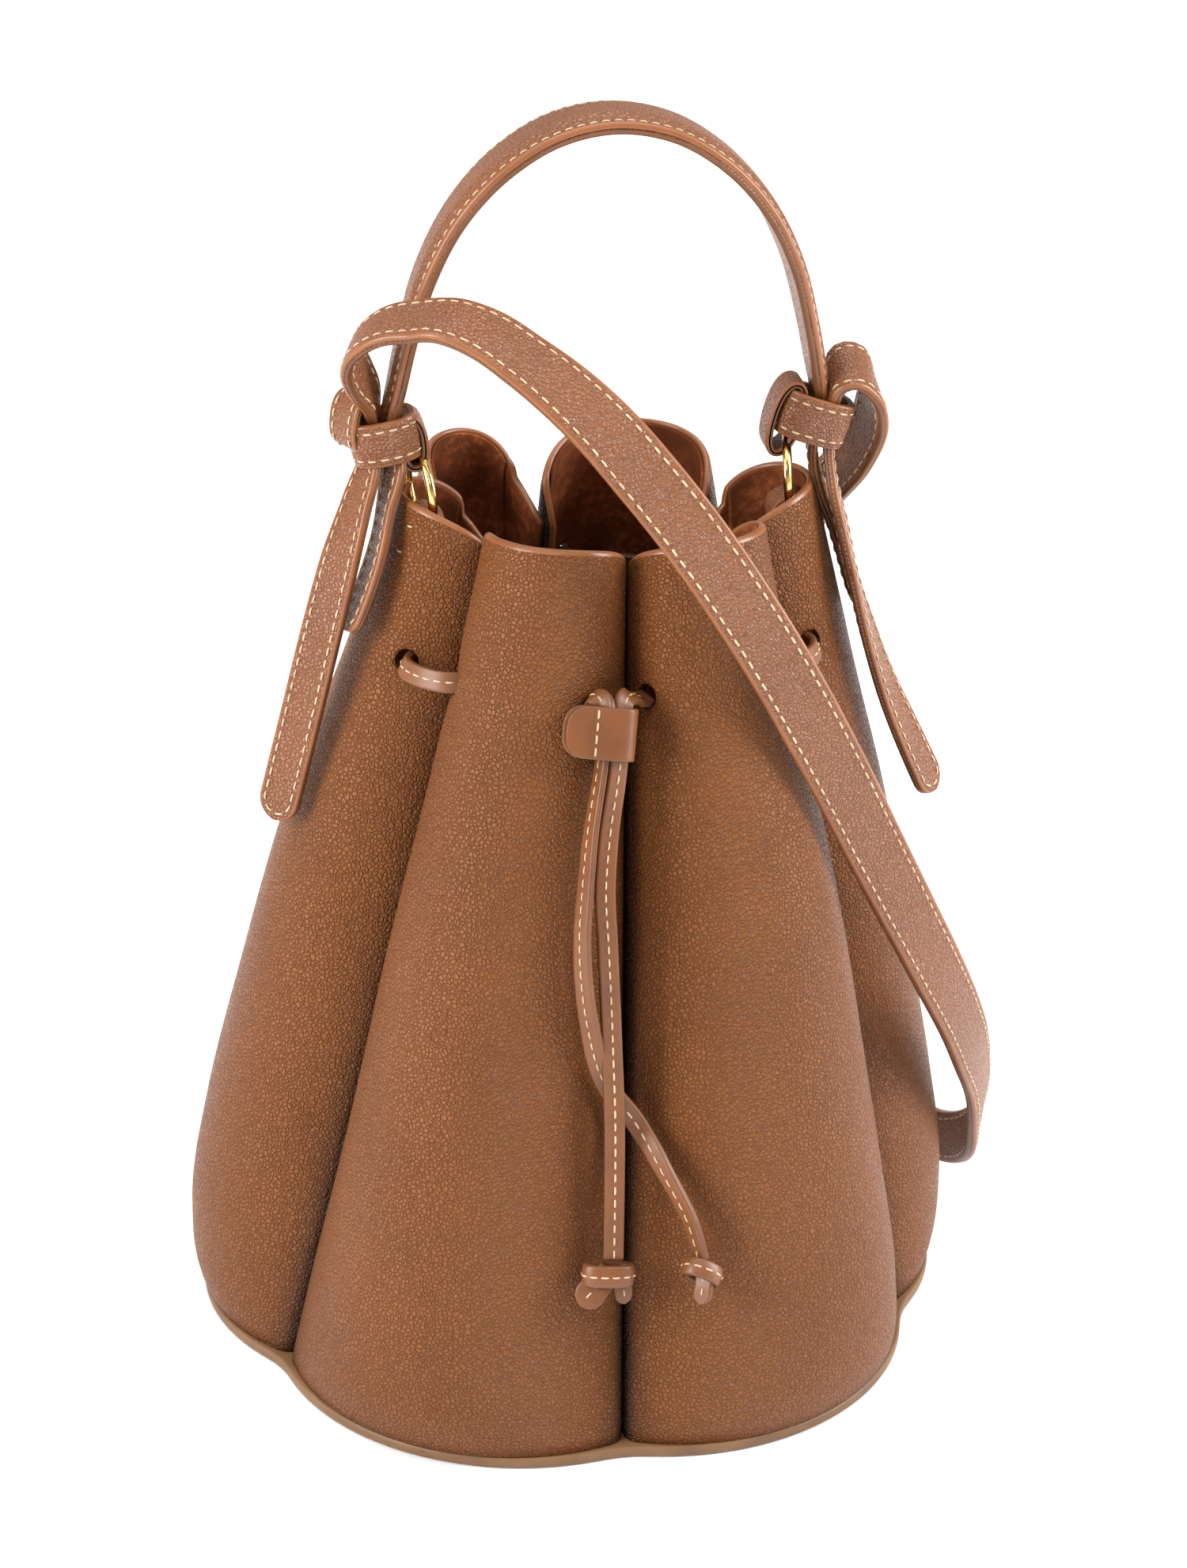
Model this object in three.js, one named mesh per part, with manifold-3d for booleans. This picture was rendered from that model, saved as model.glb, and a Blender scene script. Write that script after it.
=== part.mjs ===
// Bucket bag in tulip form: six leather petals drawn together at the mouth, on a stiff round base.
// A carrying handle and a shoulder strap are knotted to two rings, and a leather drawstring with a
// sliding tab gathers the petals. Millimetres, +Z up, -Y is the front, origin under the base's centre.
import * as THREE from "three";
import { mergeVertices } from "three/addons/utils/BufferGeometryUtils.js";
import Module from "manifold-3d";

const wasm = await Module();
wasm.setup();

// ---------------------------------------------------------------- driving dimensions
const BASE_SEAM_RADIUS = 95.5; // where two petals meet, at the sole
const MOUTH_SEAM_RADIUS = 34; // the same seam at the notch between two petals
const NOTCH_HEIGHT = 227; // top of a seam
const PETAL_HEIGHT = 241; // top of a petal's rounded rim
const MOUTH_SHIFT_X = 6.5; // the mouth leans a little to the right of the base
const MOUTH_SHIFT_Y = 2.5;
const HANDLE_Y = 1; // the rings and the handle stand in one upright plane

const LEATHER = 1.8; // outer leather
const LINING = 1.0; // suede glued behind it
const GAP = 0.3; // left between touching pieces
const SEAM_GAP = 0.2; // from a petal's edge to the plane of its seam
const FLANGE = 5; // seam allowance that stands into the bag

const SOLE_THICKNESS = 3;
const SOLE_LIP = 1.3; // how far the sole's edge stands out under the petals
const BOARD_RADIUS = 88;
const BOARD_THICKNESS = 2;

const HOLE_RADIUS = 3.5; // drawstring holes
const HOLE_HEIGHT = 200;

const RING_RADIUS = 10.3; // to the middle of the wire
const WIRE_RADIUS = 1.4;
const RING_HEIGHT = 241;
const RING_REACH = 45.6; // from the mouth's axis
const KNOT_REACH = 58.5;
const KNOT_HEIGHT = 255.8;

const STRAP_WIDTH = 17;
const STRAP_END_WIDTH = 8;
const STRAP_THICKNESS = 3;
const CORD_WIDTH = 3.4;

// Outer radius of the body against height, as knots of a smooth curve.
const PETAL_PROFILE = [
  [0, 104],
  [8, 107],
  [26, 108.3],
  [60, 103.4],
  [100, 94.6],
  [150, 81.8],
  [200, 66],
  [241, 54],
];

// Each seam's direction in degrees at the base and at the mouth, where the back ones have crept round.
const SEAMS = [
  { base: -154, mouth: -150 },
  { base: -90, mouth: -90 },
  { base: -24, mouth: -30 },
  { base: 34, mouth: 25 },
  { base: 92, mouth: 112 },
  { base: 149, mouth: 155 },
];

// Each petal lies between a seam and the next. bulge is added to its outer radius at the mouth, and
// swell at mid-height. holes are its two drawstring holes in degrees round its own arc.
const PETALS = [
  { name: "front_left", bulge: 0, swell: 0, holes: [-66, 61] },
  { name: "front_right", bulge: 0, swell: 0, holes: [-86, 66] },
  { name: "right", bulge: 1, swell: -1.5, holes: [-66, 66] },
  { name: "back_right", bulge: -5, swell: 0, holes: [-66, 66] },
  { name: "back_left", bulge: 3, swell: 0, holes: [-66, 66] },
  { name: "left", bulge: 2, swell: 1.6, holes: [-66, 64] },
];

// ---------------------------------------------------------------- materials
const leather = material(0x96623e, 0.55, 0);
const leatherSole = material(0x8a6236, 0.6, 0);
const suede = material(0x4a2a18, 0.95, 0);
const board = material(0xb49a78, 0.9, 0);
const strapLeather = material(0xb07a55, 0.5, 0);
const gold = material(0xd8b968, 0.2, 1);

function material(color, roughness, metalness) {
  return new THREE.MeshStandardMaterial({ color, roughness, metalness });
}

// ---------------------------------------------------------------- small helpers
const rad = THREE.MathUtils.degToRad;
const mix = THREE.MathUtils.lerp;

function point(x, y, z) {
  return new THREE.Vector3(x, y, z);
}

function namedMesh(name, geometry, paint) {
  const mesh = new THREE.Mesh(geometry, paint);
  mesh.name = name;
  return mesh;
}

// Piecewise curve through [position, value] knots, with flowing tangents.
function profileValue(knots, at) {
  const last = knots.length - 2;
  let i = 0;
  while (i < last && at > knots[i + 1][0]) i += 1;
  const [a, b] = [knots[i], knots[i + 1]];
  const before = knots[Math.max(0, i - 1)];
  const after = knots[Math.min(knots.length - 1, i + 2)];
  const t = (at - a[0]) / (b[0] - a[0]);
  const width = b[0] - a[0];
  const m0 = ((b[1] - before[1]) / (b[0] - before[0])) * width;
  const m1 = ((after[1] - a[1]) / (after[0] - a[0])) * width;
  const [t2, t3] = [t * t, t * t * t];
  return (2 * t3 - 3 * t2 + 1) * a[1] + (t3 - 2 * t2 + t) * m0 + (3 * t2 - 2 * t3) * b[1] + (t3 - t2) * m1;
}

// A manifold-3d solid from a three.js geometry, and back.
function toSolid(geometry) {
  const bare = geometry.index ? geometry.toNonIndexed() : geometry.clone();
  bare.deleteAttribute("normal");
  bare.deleteAttribute("uv");
  const merged = mergeVertices(bare, 1e-3);
  return new wasm.Manifold(
    new wasm.Mesh({
      numProp: 3,
      vertProperties: new Float32Array(merged.attributes.position.array),
      triVerts: new Uint32Array(merged.index.array),
    }),
  );
}

function toGeometry(solid) {
  const mesh = solid.getMesh();
  const geometry = new THREE.BufferGeometry();
  geometry.setAttribute("position", new THREE.BufferAttribute(mesh.vertProperties, 3));
  geometry.setIndex(new THREE.BufferAttribute(mesh.triVerts, 1));
  geometry.computeVertexNormals();
  return geometry;
}

// Closed skin over two matching grids of points: outer faces out, inner faces in, joined at the border.
function sheetGeometry(outer, inner) {
  const rows = outer.length;
  const columns = outer[0].length;
  const positions = [...outer.flat(), ...inner.flat()].flatMap((p) => [p.x, p.y, p.z]);
  const index = [];
  const at = (side, r, c) => side * rows * columns + r * columns + c;
  const quad = (a, b, c, d) => index.push(a, b, c, a, c, d);
  for (let r = 0; r < rows - 1; r += 1) {
    for (let c = 0; c < columns - 1; c += 1) {
      quad(at(0, r, c), at(0, r, c + 1), at(0, r + 1, c + 1), at(0, r + 1, c));
      quad(at(1, r, c), at(1, r + 1, c), at(1, r + 1, c + 1), at(1, r, c + 1));
    }
  }
  for (let c = 0; c < columns - 1; c += 1) {
    quad(at(0, 0, c), at(1, 0, c), at(1, 0, c + 1), at(0, 0, c + 1));
    quad(at(0, rows - 1, c + 1), at(1, rows - 1, c + 1), at(1, rows - 1, c), at(0, rows - 1, c));
  }
  for (let r = 0; r < rows - 1; r += 1) {
    quad(at(0, r + 1, 0), at(1, r + 1, 0), at(1, r, 0), at(0, r, 0));
    quad(at(0, r, columns - 1), at(1, r, columns - 1), at(1, r + 1, columns - 1), at(0, r + 1, columns - 1));
  }
  const geometry = new THREE.BufferGeometry();
  geometry.setAttribute("position", new THREE.Float32BufferAttribute(positions, 3));
  geometry.setIndex(index);
  geometry.computeVertexNormals();
  return geometry;
}

// Flat strap along a route. Each station is [x, y, z, faceX, faceY, faceZ, width], where face is the
// direction its outer face looks in. from and to cut the strap's thickness as fractions of it.
function strapGeometry(stations, steps, thickness, from = 0, to = 1) {
  const route = new THREE.CatmullRomCurve3(stations.map((s) => point(s[0], s[1], s[2])), false, "centripetal");
  const faces = new THREE.CatmullRomCurve3(stations.map((s) => point(s[3], s[4], s[5])), false, "centripetal");
  const widths = stations.map((s, i) => [i / (stations.length - 1), s[6]]);
  const rings = [];
  for (let i = 0; i <= steps; i += 1) {
    const t = i / steps;
    const middle = route.getPoint(t);
    const along = route.getTangent(t);
    const across = along.clone().cross(faces.getPoint(t)).normalize();
    const out = across.clone().cross(along).normalize();
    const half = profileValue(widths, t) / 2;
    const bevel = Math.min(0.5, thickness * (to - from) * 0.25);
    const low = (from - 0.5) * thickness;
    const high = (to - 0.5) * thickness;
    const section = [
      [half - bevel, low],
      [half, low + bevel],
      [half, high - bevel],
      [half - bevel, high],
      [bevel - half, high],
      [-half, high - bevel],
      [-half, low + bevel],
      [bevel - half, low],
    ];
    rings.push(section.map(([a, b]) => middle.clone().addScaledVector(across, a).addScaledVector(out, b)));
  }
  return loftGeometry(rings);
}

// Closed skin over a row of point rings, with a flat fan on each end.
function loftGeometry(rings) {
  const sides = rings[0].length;
  const ends = [rings[0], rings[rings.length - 1]].map((ring) =>
    ring.reduce((sum, p) => sum.add(p), point(0, 0, 0)).divideScalar(sides),
  );
  const positions = [...rings.flat(), ...ends].flatMap((p) => [p.x, p.y, p.z]);
  const index = [];
  const [first, last] = [rings.length * sides, rings.length * sides + 1];
  for (let k = 0; k < sides; k += 1) {
    const next = (k + 1) % sides;
    for (let r = 0; r < rings.length - 1; r += 1) {
      const [a, b] = [r * sides, (r + 1) * sides];
      index.push(a + k, b + k, b + next, a + k, b + next, a + next);
    }
    const top = (rings.length - 1) * sides;
    index.push(first, k, next, last, top + next, top + k);
  }
  const geometry = new THREE.BufferGeometry();
  geometry.setAttribute("position", new THREE.Float32BufferAttribute(positions, 3));
  geometry.setIndex(index);
  geometry.computeVertexNormals();
  return geometry;
}

// Flattened tube of eight sides along a route of points.
function cordGeometry(route, steps, width) {
  const curve = new THREE.CatmullRomCurve3(route.map(([x, y, z]) => point(x, y, z)), false, "centripetal");
  const section = new THREE.Shape();
  for (let k = 0; k < 8; k += 1) {
    const turn = ((k + 0.5) / 8) * 2 * Math.PI;
    const [x, y] = [(width / 2) * Math.cos(turn), (width / 2) * Math.sin(turn)];
    if (k === 0) section.moveTo(x, y);
    else section.lineTo(x, y);
  }
  return new THREE.ExtrudeGeometry(section, { steps, bevelEnabled: false, extrudePath: curve });
}

// Upright oval band, open along Y: a strap bent into a loop.
function loopGeometry(halfWidth, halfHeight, thickness, depth) {
  const outline = new THREE.Shape();
  outline.absellipse(0, 0, halfWidth, halfHeight, 0, 2 * Math.PI);
  const hollow = new THREE.Path();
  hollow.absellipse(0, 0, halfWidth - thickness, halfHeight - thickness, 0, 2 * Math.PI);
  outline.holes.push(hollow);
  const geometry = new THREE.ExtrudeGeometry(outline, { depth, bevelEnabled: false, curveSegments: 10 });
  geometry.translate(0, 0, -depth / 2);
  geometry.rotateX(Math.PI / 2);
  return geometry;
}

function roundedRectangle(path, width, height, corner) {
  const [x, y] = [width / 2 - corner, height / 2 - corner];
  path.absarc(x, y, corner, 0, Math.PI / 2);
  path.absarc(-x, y, corner, Math.PI / 2, Math.PI);
  path.absarc(-x, -y, corner, Math.PI, 1.5 * Math.PI);
  path.absarc(x, -y, corner, 1.5 * Math.PI, 2 * Math.PI);
  return path;
}

// Upright sleeve: a rounded rectangle with a rounded slot through it along Z, centred on the origin.
function sleeveGeometry(width, depth, height, wall, curveSegments) {
  const outline = roundedRectangle(new THREE.Shape(), width, depth, 2.6);
  outline.holes.push(roundedRectangle(new THREE.Path(), width - 2 * wall, depth - 2 * wall, 1));
  const geometry = new THREE.ExtrudeGeometry(outline, { depth: height, bevelEnabled: false, curveSegments });
  geometry.translate(0, 0, -height / 2);
  return geometry;
}

// ---------------------------------------------------------------- the petals' shape
// Seam direction at a height, in radians. It creeps from its base place to its mouth place.
function seamTurn(index, z) {
  const seam = SEAMS[index % SEAMS.length];
  const full = index >= SEAMS.length ? 360 : 0;
  const creep = Math.min(1, Math.max(0, z / NOTCH_HEIGHT)) ** 1.5;
  return rad(mix(seam.base, seam.mouth, creep) + full);
}

// A petal's level section is one circular arc. Returns the arc's centre distance, radius and sector.
function petalArc(index, z) {
  const [start, end] = [seamTurn(index, z), seamTurn(index + 1, z)];
  const half = (end - start) / 2;
  const seamRadius = mix(BASE_SEAM_RADIUS, MOUTH_SEAM_RADIUS, z / NOTCH_HEIGHT);
  const bulge = PETALS[index].bulge * (z / PETAL_HEIGHT) ** 2;
  const swell = PETALS[index].swell * Math.sin((Math.PI * Math.min(200, Math.max(0, z))) / 200);
  const outerRadius = profileValue(PETAL_PROFILE, z) + bulge + swell;
  const chord = seamRadius * Math.sin(half);
  const rise = outerRadius - seamRadius * Math.cos(half);
  const radius = (chord * chord + rise * rise) / (2 * rise);
  return { middle: (start + end) / 2, half, radius, centre: outerRadius - radius, seamRadius };
}

// The largest turn of the arc at a depth below its face, where it meets its own side of the seam.
function arcLimit(arc, depth) {
  const toSeam = arc.centre * Math.sin(arc.half);
  const reach = Math.min(1, (toSeam - SEAM_GAP - depth) / (arc.radius - depth));
  return Math.PI / 2 + arc.half - Math.acos(Math.max(-1, reach));
}

// Point of a petal's section in its own axes (out along the middle, and across), at a turn and depth.
function petalPoint(index, turn, z, depth) {
  const arc = petalArc(index, z);
  const radius = arc.radius - depth;
  const out = arc.centre + radius * Math.cos(turn);
  const across = radius * Math.sin(turn);
  return placePoint(arc.middle, out, across, z);
}

function placePoint(middle, out, across, z) {
  const lean = z / NOTCH_HEIGHT;
  return point(
    out * Math.cos(middle) - across * Math.sin(middle) + MOUTH_SHIFT_X * lean,
    out * Math.sin(middle) + across * Math.cos(middle) + MOUTH_SHIFT_Y * lean,
    z,
  );
}

// End of the seam allowance, straight in along the seam from the arc's end.
function flangePoint(index, side, z, depth) {
  const arc = petalArc(index, z);
  const inset = SEAM_GAP + depth;
  const along = Math.max(4, Math.min(arc.seamRadius, arcEndAlong(arc)) - FLANGE);
  const out = along * Math.cos(arc.half) + inset * Math.sin(arc.half);
  const across = along * Math.sin(arc.half) - inset * Math.cos(arc.half);
  return placePoint(arc.middle, out, side * across, z);
}

function arcEndAlong(arc) {
  const limit = arcLimit(arc, 0);
  const out = arc.centre + arc.radius * Math.cos(limit);
  const across = arc.radius * Math.sin(limit);
  return out * Math.cos(arc.half) + across * Math.sin(arc.half);
}

// Height of the rounded rim at a place across the petal, from -1 to 1.
function rimHeight(across) {
  return NOTCH_HEIGHT + (PETAL_HEIGHT - NOTCH_HEIGHT) * (1 - Math.abs(across) ** 2.4) ** 0.6;
}

function petalGrid(index, { bottom, rows, columns, depth, flanges }) {
  const grid = [];
  for (let r = 0; r <= rows; r += 1) {
    const row = [];
    for (let c = 0; c <= columns; c += 1) {
      const across = (2 * c) / columns - 1;
      const z = mix(bottom, rimHeight(across), (r / rows) ** 0.85);
      row.push(petalPoint(index, across * arcLimit(petalArc(index, z), depth), z, depth));
    }
    if (flanges) {
      row.unshift(flangePoint(index, -1, row[0].z, depth));
      row.push(flangePoint(index, 1, row[row.length - 1].z, depth));
    }
    grid.push(row);
  }
  return grid;
}

// Straight hole through a petal near one of its seams.
function petalHole(index, degrees) {
  const inside = petalPoint(index, rad(degrees), HOLE_HEIGHT, LEATHER + LINING + 3);
  const outside = petalPoint(index, rad(degrees), HOLE_HEIGHT, -3);
  const length = outside.distanceTo(inside);
  const geometry = new THREE.CylinderGeometry(HOLE_RADIUS, HOLE_RADIUS, length, 14);
  const up = outside.clone().sub(inside).normalize();
  geometry.applyQuaternion(new THREE.Quaternion().setFromUnitVectors(point(0, 1, 0), up));
  const middle = outside.add(inside).multiplyScalar(0.5);
  return geometry.translate(middle.x, middle.y, middle.z);
}

function withHoles(index, geometry) {
  const holes = PETALS[index].holes.map((degrees) => toSolid(petalHole(index, degrees)));
  return toGeometry(holes.reduce((body, hole) => body.subtract(hole), toSolid(geometry)));
}

function petalMesh(index) {
  const grid = { bottom: SOLE_THICKNESS + GAP, rows: 9, columns: 12, flanges: true };
  const outer = petalGrid(index, { ...grid, depth: 0 });
  const inner = petalGrid(index, { ...grid, depth: LEATHER });
  return namedMesh("petal_" + PETALS[index].name, withHoles(index, sheetGeometry(outer, inner)), leather);
}

function liningMesh(index) {
  const grid = { bottom: SOLE_THICKNESS + GAP, rows: 9, columns: 12, flanges: false };
  const outer = petalGrid(index, { ...grid, depth: LEATHER + GAP });
  const inner = petalGrid(index, { ...grid, depth: LEATHER + GAP + LINING });
  return namedMesh("lining_" + PETALS[index].name, withHoles(index, sheetGeometry(outer, inner)), suede);
}

// ---------------------------------------------------------------- base
// Six shallow lobes that follow the petals' feet and stand out under them.
function soleMesh() {
  const outline = new THREE.Shape();
  PETALS.forEach((petal, index) => {
    const arc = petalArc(index, 0);
    const limit = arcLimit(arc, -SOLE_LIP);
    const [x, y] = [arc.centre * Math.cos(arc.middle), arc.centre * Math.sin(arc.middle)];
    outline.absarc(x, y, arc.radius + SOLE_LIP, arc.middle - limit, arc.middle + limit);
  });
  const geometry = new THREE.ExtrudeGeometry(outline, {
    depth: SOLE_THICKNESS,
    bevelEnabled: false,
    curveSegments: 10,
  });
  return namedMesh("base_sole", geometry, leatherSole);
}

function discMesh(name, radius, bottom, thickness, paint) {
  const geometry = new THREE.CylinderGeometry(radius, radius, thickness, 48);
  geometry.rotateX(Math.PI / 2);
  const mesh = namedMesh(name, geometry, paint);
  mesh.position.z = bottom + thickness / 2;
  return mesh;
}

function baseGroup() {
  const boardBottom = SOLE_THICKNESS + GAP;
  const liningBottom = boardBottom + BOARD_THICKNESS + GAP;
  const group = new THREE.Group();
  group.add(soleMesh());
  group.add(discMesh("base_board", BOARD_RADIUS, boardBottom, BOARD_THICKNESS, board));
  group.add(discMesh("base_lining", BOARD_RADIUS, liningBottom, LINING, suede));
  return group;
}

// ---------------------------------------------------------------- rings and their tabs
function ringMesh(side) {
  const geometry = new THREE.TorusGeometry(RING_RADIUS, WIRE_RADIUS, 8, 28);
  geometry.rotateY(Math.PI / 2);
  const mesh = namedMesh(side < 0 ? "ring_left" : "ring_right", geometry, gold);
  mesh.position.set(MOUTH_SHIFT_X + side * RING_REACH, HANDLE_Y, RING_HEIGHT);
  return mesh;
}

// Strap sewn inside the petal that runs up, over the ring's lowest wire and back down.
function ringTabMesh(side) {
  const bend = [
    [56.6, 214.5, 1, 0.25],
    [53.4, 226, 1, 0.25],
    [50.6, 232.6, 0.9, 0.5],
    [45.8, 235.4, 0, 1],
    [42.2, 232.8, -0.9, 0.3],
    [42.2, 228.2, -0.9, -0.4],
    [45.8, 225.2, -0.3, -1],
    [51.0, 222.4, -0.8, -0.4],
    [54.0, 215.5, -1, -0.25],
  ];
  const stations = bend.map(([reach, z, outward, upward]) => [
    MOUTH_SHIFT_X + side * reach,
    HANDLE_Y,
    z,
    side * outward,
    0,
    upward,
    9,
  ]);
  return namedMesh(side < 0 ? "ring_tab_left" : "ring_tab_right", strapGeometry(stations, 20, 1.2), strapLeather);
}

// ---------------------------------------------------------------- handle and its knots
// Half of the handle's arch: distance from the middle, height, and the strap's width there.
const HANDLE_ARCH = [
  [56.5, 251, 8],
  [56.4, 263, 8],
  [55.2, 269, 10.5],
  [52.4, 282.5, 14],
  [47.5, 300, 18],
  [39.6, 315.5, 20],
  [28, 328.2, 21.5],
  [14.5, 336.3, 22],
];
const HANDLE_TOP = 339;
const HANDLE_THICKNESS = 3.4;

function handleStations() {
  const half = (side) =>
    HANDLE_ARCH.map(([reach, z, width]) => {
      const tilt = Math.atan2(reach, Math.max(1, z - 262)) * side;
      return [MOUTH_SHIFT_X + side * reach, HANDLE_Y, z, Math.sin(tilt), 0, Math.cos(tilt), width];
    });
  return [...half(-1), [MOUTH_SHIFT_X, HANDLE_Y, HANDLE_TOP, 0, 0, 1, 22], ...half(1).reverse()];
}

function handleMeshes() {
  const stations = handleStations();
  return [
    namedMesh("handle_outer", strapGeometry(stations, 44, HANDLE_THICKNESS, 0.5, 1), strapLeather),
    namedMesh("handle_lining", strapGeometry(stations, 44, HANDLE_THICKNESS, 0, 0.41), strapLeather),
  ];
}

// Knot at one end of the handle: a band round the strap ends and the loop of strap that holds the ring.
function knotMeshes(side, loopTop) {
  const label = side < 0 ? "left" : "right";
  const band = namedMesh("knot_band_" + label, sleeveGeometry(16.6, 13, 11, 2, 4), strapLeather);
  band.position.set(MOUTH_SHIFT_X + side * KNOT_REACH, HANDLE_Y, KNOT_HEIGHT);
  const half = (loopTop - RING_HEIGHT - 5) / 2;
  const loop = namedMesh("ring_loop_" + label, loopGeometry(3.9, half, 1.3, 9), strapLeather);
  loop.position.set(MOUTH_SHIFT_X + side * (RING_REACH - 0.2), HANDLE_Y, loopTop - half);
  return [band, loop];
}

// Turn of strap that stands out on the left knot's far side.
function outerTurnMesh() {
  const turn = namedMesh("knot_turn_left", loopGeometry(3.9, 10.5, 2.4, 9), strapLeather);
  turn.position.set(MOUTH_SHIFT_X - KNOT_REACH - 12.5, HANDLE_Y, KNOT_HEIGHT + 3);
  return turn;
}

// ---------------------------------------------------------------- hanging strap ends
// Routes run down from under the knot: [x, y, z, face direction, width]. The upper end of each is round
// about the axis it swings on.
const TAILS = {
  tail_long_left: [
    [-57.2, 1, 248, -0.9, -0.45, 0.1, 1.6],
    [-57.5, 1, 247, -0.9, -0.45, 0.1, 5],
    [-58.2, 1, 244.5, -0.9, -0.45, 0.1, 7.2],
    [-60.6, -4.4, 237.5, -0.9, -0.45, 0.1, 10],
    [-64.6, -9, 227.4, -0.88, -0.47, 0.15, 12],
    [-68.8, -10, 212, -0.88, -0.47, 0.2, 12],
    [-76.8, -10, 179.3, -0.88, -0.47, 0.2, 12],
    [-83.4, -10, 152.7, -0.88, -0.47, 0.2, 12],
  ],
  tail_short_left: [
    [-50.4, 1, 248, -0.85, -0.5, 0.1, 1.6],
    [-50.6, 1, 247, -0.85, -0.5, 0.1, 4.8],
    [-51, 1, 244.5, -0.85, -0.5, 0.1, 7],
    [-52.9, -4.2, 238.5, -0.85, -0.5, 0.1, 8],
    [-55, -8.9, 229.2, -0.85, -0.5, 0.1, 11],
    [-59.4, -11, 216.4, -0.85, -0.5, 0.2, 11],
    [-63.8, -11.6, 206.5, -0.85, -0.5, 0.2, 9],
  ],
  tail_long_right: [
    [66.4, 1, 248, 0.97, -0.25, 0.1, 1.6],
    [66.6, 1, 247, 0.97, -0.25, 0.1, 5],
    [67.2, 1, 244.5, 0.97, -0.25, 0.1, 7.2],
    [68.2, -3, 238, 0.96, -0.28, 0.1, 10],
    [69.6, -6, 229, 0.95, -0.3, 0.1, 12],
    [72.1, -9, 214.6, 0.9, -0.45, 0.15, 12],
    [77, -10, 198.5, 0.86, -0.52, 0.2, 12],
    [83, -10, 181.9, 0.8, -0.6, 0.25, 12],
    [88.7, -10, 169.1, 0.75, -0.65, 0.3, 12],
    [96.6, -10, 152.2, 0.72, -0.68, 0.3, 12],
  ],
  tail_short_right: [
    [62.2, 1, 248, 0.98, -0.17, 0.1, 1.6],
    [62.4, 1, 247, 0.98, -0.17, 0.1, 4.8],
    [63.2, 1, 244.5, 0.98, -0.17, 0.1, 7],
    [65.6, 2.6, 239.5, 0.98, -0.17, 0.1, 8],
    [68.8, 4, 228, 0.98, -0.17, 0.1, 11],
    [71.7, 4, 217, 0.98, -0.17, 0.2, 11],
    [74.2, 3, 209, 0.98, -0.17, 0.2, 11],
    [76.2, 3, 202.7, 0.98, -0.17, 0.2, 9],
  ],
};

function tailMeshes() {
  return Object.entries(TAILS).map(([name, stations]) =>
    namedMesh(name, strapGeometry(stations, 3 * (stations.length - 1), STRAP_THICKNESS - 0.4), strapLeather),
  );
}

// ---------------------------------------------------------------- shoulder strap
// It leaves the left knot, arches over, crosses the front to the right, turns behind the bag along
// the ground, and climbs the back to the right knot: [x, y, z, face direction, width].
const STRAP_FRONT = [
  [-55.4, HANDLE_Y, 251, -1, 0, 0, STRAP_END_WIDTH],
  [-55.4, HANDLE_Y, 263, -1, 0.2, 0, STRAP_END_WIDTH],
  [-57.8, -2.5, 272, -0.85, 0.45, -0.1, 10.5],
  [-61, -8, 280.5, -0.86, 0.35, 0.15, 12],
  [-60.6, -13, 287.5, -0.8, 0.1, 0.5, 13],
  [-55.4, -17, 293.2, -0.5, -0.25, 0.8, 14],
  [-46.6, -21, 296, -0.3, -0.45, 0.85, 15],
  [-39.3, -26, 297.2, -0.1, -0.55, 0.85, 15.5],
  [-30.4, -31, 295.2, 0, -0.65, 0.8, 16],
  [-20.5, -36, 289.1, 0.1, -0.75, 0.7, 16.5],
  [-11, -41, 281.8, 0.08, -0.83, 0.55, STRAP_WIDTH],
  [-1.9, -46, 273.2, 0.05, -0.9, 0.42, STRAP_WIDTH],
  [7.1, -50, 262.3, 0.02, -0.95, 0.3, STRAP_WIDTH],
  [16.3, -54, 251, 0, -0.97, 0.2, STRAP_WIDTH],
  [36.7, -59, 220.6, 0.1, -0.97, 0.15, STRAP_WIDTH],
  [57.3, -57, 183.1, 0.2, -0.95, 0.15, STRAP_WIDTH],
  [71.6, -52, 154.2, 0.3, -0.92, 0.15, STRAP_WIDTH],
  [84.1, -47, 129.4, 0.4, -0.9, 0.2, STRAP_WIDTH],
  [94.1, -41, 112.9, 0.45, -0.88, 0.2, STRAP_WIDTH],
  [103.2, -31, 90.6, 0.55, -0.8, 0.2, STRAP_WIDTH],
  [109.4, -22, 75.8, 0.65, -0.75, 0.15, STRAP_WIDTH],
  [115.4, -10, 59.5, 0.78, -0.62, 0.1, 16],
  [119.5, 2, 42.2, 0.88, -0.45, 0, 15],
];
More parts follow.
